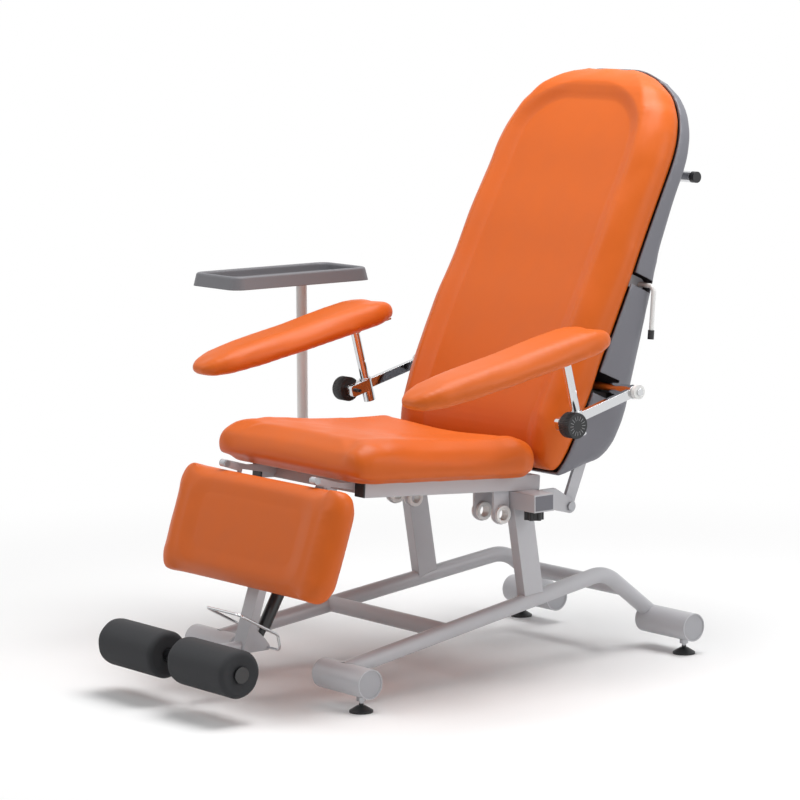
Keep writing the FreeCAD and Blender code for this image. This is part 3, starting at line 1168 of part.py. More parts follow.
build_base()
build_seat_frame(build_sockets())
build_seat()
build_back()
SEAT = seat_frame()
BACK = back_frame()
LEG = leg_frame()
build_spring("back_spring", SEAT.multVec(Vector(0, S.back_anchor_depth, -S.back_anchor_drop)),
             BACK.multVec(Vector(0, -S.back_pivot_front, S.back_pivot_rise)), S.back_cylinder_length)
build_spring("legrest_spring", SEAT.multVec(Vector(0, S.leg_anchor_depth, -S.leg_anchor_drop)),
             LEG.multVec(Vector(0, S.leg_pivot_back, -S.leg_pivot_drop)), S.leg_cylinder_length)
build_arms()
build_legrest()
build_tray()
check_and_write()
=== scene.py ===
"""Looks of a phlebotomy chair built on its CAD frame.

Metres, Z up. The sitter faces -Y, and the sitter's left is +X.
"""

import json
import logging
import math
from dataclasses import dataclass, field
from enum import Enum

import bmesh
import bpy
import numpy as np
from mathutils import Matrix, Vector


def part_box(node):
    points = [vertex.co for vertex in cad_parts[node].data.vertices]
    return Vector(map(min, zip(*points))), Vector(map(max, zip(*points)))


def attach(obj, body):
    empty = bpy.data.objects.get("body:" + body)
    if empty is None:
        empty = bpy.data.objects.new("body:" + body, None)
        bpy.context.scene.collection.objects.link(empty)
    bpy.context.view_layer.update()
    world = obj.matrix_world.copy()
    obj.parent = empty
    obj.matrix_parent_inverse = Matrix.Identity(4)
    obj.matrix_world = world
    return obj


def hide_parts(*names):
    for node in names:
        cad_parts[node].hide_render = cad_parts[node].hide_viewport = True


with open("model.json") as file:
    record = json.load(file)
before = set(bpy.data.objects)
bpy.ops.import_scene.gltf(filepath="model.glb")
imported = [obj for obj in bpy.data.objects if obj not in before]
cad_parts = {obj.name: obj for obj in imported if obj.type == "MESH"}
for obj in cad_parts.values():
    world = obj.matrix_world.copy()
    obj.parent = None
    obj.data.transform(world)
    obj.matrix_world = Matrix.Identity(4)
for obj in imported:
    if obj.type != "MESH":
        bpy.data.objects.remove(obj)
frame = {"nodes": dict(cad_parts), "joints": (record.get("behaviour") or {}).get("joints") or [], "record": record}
LOG = logging.getLogger("phlebotomy_chair")
MM = 0.001


def joint_place(name: str) -> Vector:
    """Place of a joint at rest.

    Args:
        name: Name of the joint in the record.

    Returns:
        Its point in metres.
    """
    return Vector(next(joint["pos_m"] for joint in frame["joints"] if joint["name"] == name))


def joint_axis(name: str) -> Vector:
    """Axis of a joint at rest.

    Args:
        name: Name of the joint in the record.

    Returns:
        Its direction.
    """
    return Vector(next(joint["axis"] for joint in frame["joints"] if joint["name"] == name))


@dataclass(frozen=True)
class Tilt:
    """Frame of a sub-assembly: an origin and a turn about the chair's X axis."""

    origin: Vector
    degrees: float

    @property
    def matrix(self) -> Matrix:
        """Matrix from the frame to the chair."""
        return Matrix.Translation(self.origin) @ Matrix.Rotation(math.radians(self.degrees), 4, "X")

    def out(self, points: np.ndarray) -> np.ndarray:
        """Points of the frame in the chair's coordinates.

        Args:
            points: Rows of x, y, z in metres.

        Returns:
            The rows in the chair's coordinates.
        """
        matrix = np.array(self.matrix)
        return points @ matrix[:3, :3].T + matrix[:3, 3]

    def into(self, points: np.ndarray) -> np.ndarray:
        """Points of the chair in the frame's coordinates.

        Args:
            points: Rows of x, y, z in metres.

        Returns:
            The rows in the frame's coordinates.
        """
        matrix = np.array(self.matrix)
        return (points - matrix[:3, 3]) @ matrix[:3, :3]

    def turn(self, vector: Vector) -> Vector:
        """A direction of the frame in the chair's coordinates."""
        return Matrix.Rotation(math.radians(self.degrees), 3, "X") @ vector


SEAT = Tilt(Vector((0, 0, 0.419)), -3.9)
BACK = Tilt(joint_place("recline"), -23.0)
LEG = Tilt(joint_place("legrest_lift"), -18.8)
PAD_RISE = 0.139
PAD_ORIGIN = joint_place("arm_height_left") + joint_axis("arm_height_left") * PAD_RISE
PAD = Tilt(Vector((0, *PAD_ORIGIN.yz)), 11.3)


def linear(code: str) -> tuple[float, float, float, float]:
    """Colour of an sRGB hex code in linear light.

    Args:
        code: Code such as "#E0672A".

    Returns:
        Red, green, blue and an alpha of 1.
    """
    shares = [int(code[start:start + 2], 16) / 255 for start in (1, 3, 5)]
    red, green, blue = [share / 12.92 if share <= 0.04045 else ((share + 0.055) / 1.055) ** 2.4
                        for share in shares]
    return red, green, blue, 1.0


def add_node(tree: bpy.types.NodeTree, kind: str, values: dict | None = None,
             **settings: object) -> bpy.types.Node:
    """Node with its settings and socket values.

    Args:
        tree: Tree that gets the node.
        kind: Blender's type name of the node.
        values: Values, or output sockets to link, by input name or index.
        settings: Properties of the node.

    Returns:
        The node.
    """
    node = tree.nodes.new(kind)
    for name, value in settings.items():
        setattr(node, name, value)
    for name, value in (values or {}).items():
        if isinstance(value, bpy.types.NodeSocket):
            tree.links.new(value, node.inputs[name])
        else:
            node.inputs[name].default_value = value
    return node


class GrainKind(Enum):
    """Pattern of a surface's relief."""

    NOISE = "ShaderNodeTexNoise"
    PEBBLE = "ShaderNodeTexVoronoi"


@dataclass(frozen=True)
class Grain:
    """Relief of a surface: pattern, size of its features and depth, in millimetres."""

    kind: GrainKind
    size_mm: float
    depth_mm: float


@dataclass(frozen=True)
class Finish:
    """Surface of a real material, as a procedural shader."""

    name: str
    color: str
    roughness: float
    metallic: float = 0.0
    coat: float = 0.0
    specular: float = 0.5
    grains: tuple[Grain, ...] = ()
    mottle: float = 0.0
    mottle_mm: float = 60.0
    edge_mm: float = 0.0
    low_color: str = ""
    low_mm: float = 0.0
    low_roughness: float = 0.5

    def material(self) -> bpy.types.Material:
        """The shader, built once.

        Returns:
            The Blender material.
        """
        found = bpy.data.materials.get(self.name)
        if found:
            return found
        material = bpy.data.materials.new(self.name)
        material.use_nodes = True
        material.diffuse_color = linear(self.color)
        tree = material.node_tree
        tree.nodes.clear()
        shader = add_node(tree, "ShaderNodeBsdfPrincipled", {
            "Base Color": linear(self.color), "Roughness": self.roughness, "Metallic": self.metallic,
            "Specular IOR Level": self.specular, "Coat Weight": self.coat,
            "Coat Roughness": self.roughness / 2})
        place = add_node(tree, "ShaderNodeTexCoord").outputs["Object"]
        if self.mottle > 0:
            self._mottle(tree, shader, place)
        if self.low_color:
            self._split(tree, shader, place)
        self._relief(tree, shader, place)
        output = add_node(tree, "ShaderNodeOutputMaterial")
        tree.links.new(shader.outputs["BSDF"], output.inputs["Surface"])
        return material

    def _mottle(self, tree: bpy.types.NodeTree, shader: bpy.types.Node,
                place: bpy.types.NodeSocket) -> None:
        """Uneven roughness and a slight change of tone over the surface.

        Args:
            tree: Tree of the material.
            shader: Principled shader.
            place: Object coordinates.
        """
        cloud = add_node(tree, "ShaderNodeTexNoise", {
            "Vector": place, "Scale": 1 / (self.mottle_mm * MM), "Detail": 3.0})
        rough = add_node(tree, "ShaderNodeMapRange", {
            "Value": cloud.outputs[0], "From Min": 0.3, "From Max": 0.7,
            "To Min": self.roughness * (1 - self.mottle), "To Max": self.roughness * (1 + self.mottle)})
        tree.links.new(rough.outputs[0], shader.inputs["Roughness"])
        tone = add_node(tree, "ShaderNodeMapRange", {
            "Value": cloud.outputs[0], "From Min": 0.3, "From Max": 0.7,
            "To Min": 1 - self.mottle / 5, "To Max": 1 + self.mottle / 5})
        shade = add_node(tree, "ShaderNodeHueSaturation", {
            "Color": linear(self.color), "Value": tone.outputs[0]})
        tree.links.new(shade.outputs[0], shader.inputs["Base Color"])

    def _split(self, tree: bpy.types.NodeTree, shader: bpy.types.Node,
               place: bpy.types.NodeSocket) -> None:
        """Another, unplated material up to a level over the floor.

        Args:
            tree: Tree of the material.
            shader: Principled shader.
            place: Object coordinates.
        """
        level = add_node(tree, "ShaderNodeSeparateXYZ", {0: place}).outputs["Z"]
        above = add_node(tree, "ShaderNodeMath", {0: level, 1: self.low_mm * MM},
                         operation="GREATER_THAN").outputs[0]
        tone = add_node(tree, "ShaderNodeMix", {0: above}, data_type="RGBA")
        tone.inputs[6].default_value = linear(self.low_color)
        tone.inputs[7].default_value = linear(self.color)
        tree.links.new(tone.outputs[2], shader.inputs["Base Color"])
        tree.links.new(above, shader.inputs["Metallic"])
        rough = add_node(tree, "ShaderNodeMapRange", {
            "Value": above, "To Min": self.low_roughness, "To Max": self.roughness})
        tree.links.new(rough.outputs[0], shader.inputs["Roughness"])

    def _relief(self, tree: bpy.types.NodeTree, shader: bpy.types.Node,
                place: bpy.types.NodeSocket) -> None:
        """Soft edges and grain as a chain of bumps.

        Args:
            tree: Tree of the material.
            shader: Principled shader.
            place: Object coordinates.
        """
        normal = None
        if self.edge_mm > 0:
            normal = add_node(tree, "ShaderNodeBevel", {"Radius": self.edge_mm * MM}, samples=6).outputs[0]
        for grain in self.grains:
            pattern = add_node(tree, grain.kind.value, {"Vector": place, "Scale": 1 / (grain.size_mm * MM)})
            bump = add_node(tree, "ShaderNodeBump", {
                "Strength": 1.0, "Distance": grain.depth_mm * MM, "Height": pattern.outputs[0]})
            if normal:
                tree.links.new(normal, bump.inputs["Normal"])
            normal = bump.outputs[0]
        if normal:
            tree.links.new(normal, shader.inputs["Normal"])


# Soft upholstery vinyl with a fine leather grain
VINYL = Finish("orange_upholstery_vinyl", "#CE5F16", 0.44, specular=0.3, mottle=0.10, grains=(
    Grain(GrainKind.NOISE, 60.0, 0.25), Grain(GrainKind.PEBBLE, 1.3, 0.04)))
# Sprayed and baked powder coat on steel, with a slight orange peel
POWDER = Finish("light_grey_powder_coat", "#BDBDC1", 0.42, coat=0.2, edge_mm=1.2, grains=(
    Grain(GrainKind.NOISE, 2.2, 0.04),))
# Thermoformed plastic of the back shell
SHELL_PLASTIC = Finish("grey_thermoformed_plastic", "#6E6E75", 0.48, mottle=0.08, grains=(
    Grain(GrainKind.NOISE, 0.9, 0.03),), edge_mm=2.0)
# Darker moulded plastic of the tray
TRAY_PLASTIC = Finish("tray_moulded_plastic", "#69696D", 0.5, edge_mm=2.0, grains=(
    Grain(GrainKind.NOISE, 0.7, 0.05),))
# Cast grey end plug with a speckled surface
CAP_PLASTIC = Finish("speckled_grey_plug", "#A7A7AB", 0.55, metallic=0.35, grains=(
    Grain(GrainKind.NOISE, 1.0, 0.12),), edge_mm=1.5)
# Bright chrome plate on tube
CHROME = Finish("bright_chrome_plate", "#D5D6D8", 0.09, metallic=1.0, edge_mm=0.8)
# Dull zinc plate on bolts and stems
ZINC = Finish("dull_zinc_plate", "#A9AAAD", 0.32, metallic=1.0, edge_mm=0.6)
# Zinc-plated stem of a levelling foot, moulded into a black nylon disc
FOOT = Finish("zinc_stem_in_black_nylon", "#A9AAAD", 0.32, metallic=1.0, edge_mm=0.6,
              low_color="#1B1C1E", low_mm=19.0)
# Moulded black knobs and caps
BLACK_PLASTIC = Finish("black_moulded_plastic", "#1D1E20", 0.42, edge_mm=1.0, grains=(
    Grain(GrainKind.NOISE, 0.8, 0.03),))
# Glossy white pivot caps
WHITE_PLASTIC = Finish("white_moulded_plastic", "#E6E6E4", 0.3, coat=0.3, edge_mm=1.5)
# Black paint on the gas springs and the axle
BLACK_PAINT = Finish("black_enamel_paint", "#17181A", 0.3, coat=0.3, edge_mm=0.8)
# White enamel on the release lever
WHITE_PAINT = Finish("white_enamel_paint", "#E2E2E0", 0.28, coat=0.3)
# Closed-cell rubber foam of the rollers
FOAM = Finish("black_closed_cell_foam", "#232427", 0.8, grains=(
    Grain(GrainKind.NOISE, 9.0, 0.25), Grain(GrainKind.PEBBLE, 1.6, 0.18)))
# Plywood boards coloured near black as painted shade: the dark band under the cushions is mostly shadow, with some
# dark parts
BOARD = Finish("board_near_black_painted_shade", "#242322", 0.7, grains=(Grain(GrainKind.NOISE, 3.0, 0.1),))
# Grey print on the clamp knobs
MARKS = Finish("grey_pad_print", "#8B8C8E", 0.6)

SLOT_FINISHES = {
    "powder_coat": POWDER, "grey_plastic": SHELL_PLASTIC, "zinc": ZINC, "black_plastic": BLACK_PLASTIC,
    "white_plastic": WHITE_PLASTIC, "orange_vinyl": VINYL, "plywood": BOARD, "chrome": CHROME,
    "tray_plastic": TRAY_PLASTIC, "black_paint": BLACK_PAINT, "white_paint": WHITE_PAINT, "black_foam": FOAM,
}
NODE_FINISHES = {
    "stub_caps": CAP_PLASTIC, "tray_pole": WHITE_PAINT, "arm_bar_left": CHROME, "arm_bar_right": CHROME,
    "socket_plug": SHELL_PLASTIC, "lug_bushes": WHITE_PLASTIC,
    **{f"levelling_foot_{end}_{side}": FOOT for end in ("front", "rear") for side in ("left", "right")},
}


def positions(mesh: bpy.types.Mesh) -> np.ndarray:
    """Vertex positions as rows.

    Args:
        mesh: Mesh to read.

    Returns:
        Rows of x, y, z.
    """
    values = np.empty(len(mesh.vertices) * 3)
    mesh.vertices.foreach_get("co", values)
    return values.reshape(-1, 3)


def normals(mesh: bpy.types.Mesh) -> np.ndarray:
    """Vertex normals as rows.

    Args:
        mesh: Mesh to read.

    Returns:
        Rows of x, y, z.
    """
    values = np.empty(len(mesh.vertices) * 3)
    mesh.vertices.foreach_get("normal", values)
    return values.reshape(-1, 3)


def move_to(mesh: bpy.types.Mesh, points: np.ndarray) -> None:
    """Set all vertex positions.

    Args:
        mesh: Mesh to change.
        points: Rows of x, y, z.
    """
    mesh.vertices.foreach_set("co", points.ravel())
    mesh.update()


def new_object(name: str, mesh: bpy.types.Mesh) -> bpy.types.Object:
    """Object with a mesh, linked to the scene."""
    item = bpy.data.objects.new(name, mesh)
    bpy.context.scene.collection.objects.link(item)
    return item


def settle(item: bpy.types.Object) -> None:
    """Apply all modifiers of an object.

    Args:
        item: Object whose evaluated mesh becomes its own.
    """
    graph = bpy.context.evaluated_depsgraph_get()
    mesh = bpy.data.meshes.new_from_object(item.evaluated_get(graph))
    mesh.name = item.name
    item.modifiers.clear()
    item.data = mesh


def dress(item: bpy.types.Object, finish: Finish, body: str) -> bpy.types.Object:
    """Give a finished piece its material and body.

    Args:
        item: Finished piece.
        finish: Its surface.
        body: Body that carries it.

    Returns:
        The same piece.
    """
    item.data.materials.clear()
    item.data.materials.append(finish.material())
    item.data.shade_smooth()
    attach(item, body)
    LOG.info("%s: %d faces on %s", item.name, len(item.data.polygons), body)
    return item


def ease(values: np.ndarray) -> np.ndarray:
    """Smooth step from 0 to 1 for values from 0 to 1."""
    share = np.clip(values, 0, 1)
    return share * share * (3 - 2 * share)


@dataclass(frozen=True)
class Panel:
    """Sunken middle of a cushion: a rounded rectangle with soft slopes and a crease at their foot."""

    half_share: float
    low: float
    high: float
    corner: float
    slope: float
    depth: float
    crease: float = 0.6

    def sink(self, across: np.ndarray, along: np.ndarray, half_width: np.ndarray) -> np.ndarray:
        """Depth under the crest at each point.

        Args:
            across: Distance from the middle.
            along: Place along the cushion.
            half_width: Half width of the cushion there.

        Returns:
            Depths in metres.
        """
        middle = (self.low + self.high) / 2
        reach_x = np.abs(across) - (half_width * self.half_share - self.corner)
        reach_y = np.abs(along - middle) - ((self.high - self.low) / 2 - self.corner)
        outside = np.hypot(np.maximum(reach_x, 0), np.maximum(reach_y, 0))
        distance = outside + np.minimum(np.maximum(reach_x, reach_y), 0) - self.corner
        share = np.clip(0.5 - distance / self.slope, 0, 1)
        return self.depth * ((1 + self.crease) * share ** 1.5 - self.crease * share ** 3)


@dataclass(frozen=True)
class Dish:
    """Shallow hollow pressed into a cushion."""

    across: float
    along: float
    radius_across: float
    radius_along: float
    depth: float

    def sink(self, across: np.ndarray, along: np.ndarray) -> np.ndarray:
        """Depth of the hollow at each point.

        Args:
            across: Distance from the middle.
            along: Place along the cushion.

        Returns:
            Depths in metres.
        """
        share = (((across - self.across) / self.radius_across) ** 2
                 + ((along - self.along) / self.radius_along) ** 2)
        return self.depth * np.exp(-share)


@dataclass
class Cushion:
    """Foam cushion covered in vinyl, grown from the space that its CAD solid holds."""

    name: str
    node: str
    body: str
    tilt: Tilt
    along_axis: int
    up_axis: int
    up_sign: int
    voxel: float = 0.006
    smooth_passes: int = 40
    calm_passes: int = 30
    swell_frames: int = 12
    keep_share: float = 0.90
    rest_hold: float = 0.7
    shrink: float = 0.0
    most_swell: float = 0.005
    pressure: float = 4.0
    stretch_stiffness: float = 20.0
    panel: Panel | None = None
    dish: Dish | None = None
    pleat_depth: float = 0.0008
    pleat_length: float = 0.011
    pleat_height: float = 0.020
    end_fade: float = 0.075
    crest_share: float = 0.86
    crest_fade: float = 0.12
    stations: int = 60
    fill: float = 0.85
    board: str | None = None
    skirt: float = 0.0
    skirt_share: float = 0.975
    slot: str = "orange_vinyl"
    item: bpy.types.Object | None = field(default=None, init=False)

    def build(self) -> bpy.types.Object:
        """Remesh, swell and shape the cushion.

        Returns:
            The finished cushion.
        """
        shell = bmesh.new()
        for node in self._nodes():
            shell.from_mesh(frame["nodes"][node].data)
        if self.skirt > 0:
            self._add_skirt(shell)
        bmesh.ops.remove_doubles(shell, verts=shell.verts, dist=1e-5)
        mesh = bpy.data.meshes.new(self.name)
        shell.to_mesh(mesh)
        shell.free()
        self.item = new_object(self.name, mesh)
        self._remesh()
        self._swell()
        subdivision = self.item.modifiers.new("finer", "SUBSURF")
        subdivision.levels = 1
        subdivision.render_levels = 1
        settle(self.item)
        self._shape()
        return self.finish_piece()

    def finish_piece(self) -> bpy.types.Object:
        """Dress the cushion and put it in place of its CAD solid."""
        dress(self.item, VINYL, self.body)
        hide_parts(*self._nodes())
        return self.item

    def _nodes(self) -> list[str]:
        """CAD nodes that the cushion takes the place of: its foam, and its board if the cover goes round it."""
        return [self.node, self.board] if self.board else [self.node]

    def _add_skirt(self, shell: bmesh.types.BMesh) -> None:
        """Copy of the foam, a little smaller and further back, where the cover is pulled into the shell.

        Args:
            shell: Mesh that gets the copy.
        """
        foam = frame["nodes"][self.node].data.copy()
        points = self.tilt.into(positions(foam))
        middle = (points.min(axis=0) + points.max(axis=0)) / 2
        points = middle + (points - middle) * self.skirt_share
        points[:, self.up_axis] -= self.skirt * self.up_sign
        move_to(foam, self.tilt.out(points))
        shell.from_mesh(foam)
        bpy.data.meshes.remove(foam)

    def _remesh(self) -> None:
        """Even mesh of the form, softened and drawn in a little."""
        remesh = self.item.modifiers.new("even", "REMESH")
        remesh.mode = "VOXEL"
        remesh.voxel_size = self.voxel
        settle(self.item)
        soft = 1 - self._rest_share(normals(self.item.data)) * self.rest_hold
        move_to(self.item.data, self._soften(soft, self.smooth_passes))
        facing = normals(self.item.data)
        move_to(self.item.data, positions(self.item.data) - facing * (self.shrink * soft)[:, None])

    def _soften(self, soft: np.ndarray, passes: int) -> np.ndarray:
        """Even out the solid's edges and facets in pairs of passes that keep the volume.

        Args:
            soft: Share of each vertex that may move.
            passes: Number of pairs of passes.

        Returns:
            Rows of x, y, z.
        """
        points = positions(self.item.data)
        pairs = np.empty(len(self.item.data.edges) * 2, int)
        self.item.data.edges.foreach_get("vertices", pairs)
        first, second = pairs.reshape(-1, 2).T
        count = np.bincount(pairs, minlength=len(points))
        for step in (0.5, -0.5 * self.keep_share) * passes:
            around = np.stack([np.bincount(first, points[second, axis], len(points)) +
                               np.bincount(second, points[first, axis], len(points))
                               for axis in range(3)], axis=1)
            points = points + (around / count[:, None] - points) * (soft * step)[:, None]
        return points

    def _up(self, facing: np.ndarray) -> np.ndarray:
        """Part of each normal that points away from the board."""
        matrix = np.array(self.tilt.matrix)[:3, :3]
        return (facing @ matrix)[:, self.up_axis] * self.up_sign

    def _rest_share(self, facing: np.ndarray) -> np.ndarray:
        """1 where the cushion rests on its board, 0 elsewhere."""
        return ease((-self._up(facing) - 0.35) / 0.2)

    def _swell(self) -> None:
        """Blow the cover up a little with a cloth simulation, held at the board."""
        start = positions(self.item.data)
        rests = self._rest_share(normals(self.item.data))
        group = self.item.vertex_groups.new(name="rest")
        for index in np.flatnonzero(rests > 0.5):
            group.add([int(index)], 1.0, "REPLACE")
        cloth = self.item.modifiers.new("swell", "CLOTH")
        settings = cloth.settings
        settings.vertex_group_mass = "rest"
        settings.use_pressure = True
        settings.uniform_pressure_force = self.pressure
        settings.effector_weights.gravity = 0.0
        settings.tension_stiffness = self.stretch_stiffness
        settings.compression_stiffness = self.stretch_stiffness
        settings.bending_stiffness = 1.0
        cloth.collision_settings.use_collision = False
        scene = bpy.context.scene
        for number in range(1, self.swell_frames + 1):
            scene.frame_set(number)
        graph = bpy.context.evaluated_depsgraph_get()
        moved = positions(self.item.evaluated_get(graph).to_mesh())
        self.item.modifiers.clear()
        self.item.vertex_groups.clear()
        scene.frame_set(1)
        step = moved - start
        length = np.linalg.norm(step, axis=1)
        step *= np.minimum(1, self.most_swell / np.maximum(length, 1e-9))[:, None]
        move_to(self.item.data, start + step)
        move_to(self.item.data, self._soften(np.ones(len(start)), self.calm_passes))

    def _shape(self) -> None:
        """Sunken panel, pressed hollow and the small pleats over the board's edge."""
        facing = normals(self.item.data)
        points = self.tilt.into(positions(self.item.data))
        across = points[:, 0]
        along = points[:, self.along_axis]
        height = points[:, self.up_axis] * self.up_sign
        up = self._up(facing)
        front = ease((up - 0.15) / 0.35)
        if self.panel:
            level, half_width = self._crest(along, height, across)
            sink = self.panel.sink(across, along, half_width)
            inner = ease((half_width * self.crest_share - np.abs(across)) / (half_width * self.crest_fade))
            span = ease((along - along.min()) / self.end_fade) * ease((along.max() - along) / self.end_fade)
            height += (level - height) * inner * front * span - sink * front
        if self.dish:
            height -= self.dish.sink(across, along) * front
        points[:, self.up_axis] = height * self.up_sign
        points = self.tilt.out(points)
        points += facing * self._pleats(points, facing, height, up)[:, None]
        move_to(self.item.data, points)

    def _crest(self, along: np.ndarray, height: np.ndarray,
               across: np.ndarray) -> tuple[np.ndarray, np.ndarray]:
        """Height of the side rolls and half width, station by station.

        Args:
            along: Place of each vertex along the cushion.
            height: Its height.
            across: Its distance from the middle.

        Returns:
            Height of the rolls and half width at each vertex.
        """
        stations = np.linspace(along.min(), along.max(), self.stations)
        bins = np.clip(np.digitize(along, stations) - 1, 0, len(stations) - 2)
        tops = np.array([height[bins == number].max() for number in range(len(stations) - 1)])
        halves = np.array([across[bins == number].max() for number in range(len(stations) - 1)])
        middles = (stations[:-1] + stations[1:]) / 2
        kernel = np.array([1, 2, 3, 2, 1]) / 9
        tops = np.convolve(np.pad(tops, 2, "edge"), kernel, "valid")
        return np.interp(along, middles, tops), np.interp(along, middles, halves)

    def _pleats(self, points: np.ndarray, facing: np.ndarray, height: np.ndarray,
                up: np.ndarray) -> np.ndarray:
        """Small gathers of the cover near the corners, low on the sides.

        Args:
            points: Vertices in the chair's coordinates.
            facing: Their normals.
            height: Their height over the frame.
            up: Part of the normals that points away from the board.

        Returns:
            Distance to move each vertex along its normal.
        """
        local = self.tilt.into(points)
        along = local[:, self.along_axis]
        side = np.clip(1 - np.abs(up) * 1.4, 0, 1)
        level = ease(1 - (height - height.min()) / self.pleat_height)
        matrix = np.array(self.tilt.matrix)[:3, :3]
        local_facing = facing @ matrix
        corner = ease(np.minimum(np.abs(local_facing[:, 0]),
                                 np.abs(local_facing[:, self.along_axis])) * 2.2)
        turn = np.arctan2(local_facing[:, self.along_axis], local_facing[:, 0])
        run = (local[:, 0] - along) / self.pleat_length + turn * 5
        return self.pleat_depth * np.sin(run * 2 * math.pi) * side * level * corner


@dataclass
class MirroredCushion:
    """Cushion of the other side, mirrored from a finished one."""

    source: Cushion
    name: str
    node: str
    body: str

    def build(self) -> bpy.types.Object:
        """Mirror the source cushion.

        Returns:
            The finished cushion.
        """
        mesh = self.source.item.data.copy()
        mesh.transform(Matrix.Scale(-1, 4, Vector((1, 0, 0))))
        mesh.flip_normals()
        item = new_object(self.name, mesh)
        dress(item, VINYL, self.body)
        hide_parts(self.node)
        return item


@dataclass
class FoamRoller:
    """Foam roller with rounded rims, dished ends and a bore for its axle."""

    side: str
    segments: int = 128
    rim: float = 0.011
    dish: float = 0.003
    bore: float = 0.0128
    sag: float = 0.0006
    length_steps: int = 24
    rim_steps: int = 8

    def build(self) -> bpy.types.Object:
        """Turn the roller's outline about its axle.

        Returns:
            The finished roller.
        """
        node = "foam_roller_" + self.side
        low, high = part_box(node)
        middle = (low + high) / 2
        radius = (high.z - low.z) / 2
        half = (high.x - low.x) / 2
        outline = self._outline(radius, half)
        angles = np.linspace(0, 2 * math.pi, self.segments, endpoint=False)
        shell = bmesh.new()
        rings = []
        for angle in angles:
            uneven = 1 + self.sag / radius * (math.sin(3 * angle) + math.sin(7 * angle + 1)) / 2
            ring = []
            for x, r in outline:
                far = r * (uneven if r > self.bore * 1.5 else 1)
                ring.append(shell.verts.new((middle.x + x, middle.y + far * math.cos(angle),
                                             middle.z + far * math.sin(angle))))
            rings.append(ring)
        for ring, after in zip(rings, rings[1:] + rings[:1]):
            for first in range(len(outline)):
                second = (first + 1) % len(outline)
                shell.faces.new((ring[first], ring[second], after[second], after[first]))
        bmesh.ops.recalc_face_normals(shell, faces=shell.faces)
        mesh = bpy.data.meshes.new(node + "_foam")
        shell.to_mesh(mesh)
        shell.free()
        item = dress(new_object(node + "_foam", mesh), FOAM, node)
        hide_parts(node)
        return item

    def _outline(self, radius: float, half: float) -> list[tuple[float, float]]:
        """Closed outline of one side of the roller.

        Args:
            radius: Outer radius.
            half: Half length.

        Returns:
            Places along the axle and radii.
        """
        outline = [(x, radius) for x in np.linspace(self.rim - half, half - self.rim, self.length_steps)]
        for sign in (1, -1):
            corner = [(sign * (half - self.rim + self.rim * math.sin(turn)),
                       radius - self.rim + self.rim * math.cos(turn))
                      for turn in np.linspace(0, math.pi / 2, self.rim_steps)[1:]]
            face = [(sign * (half - self.dish * share),
                     radius - self.rim - share * (radius - self.rim - self.bore))
                    for share in (0.15, 0.3, 0.6, 0.8, 1.0)]
            if sign > 0:
                outline += corner + face
            else:
                outline += list(reversed(corner + face))
        return outline


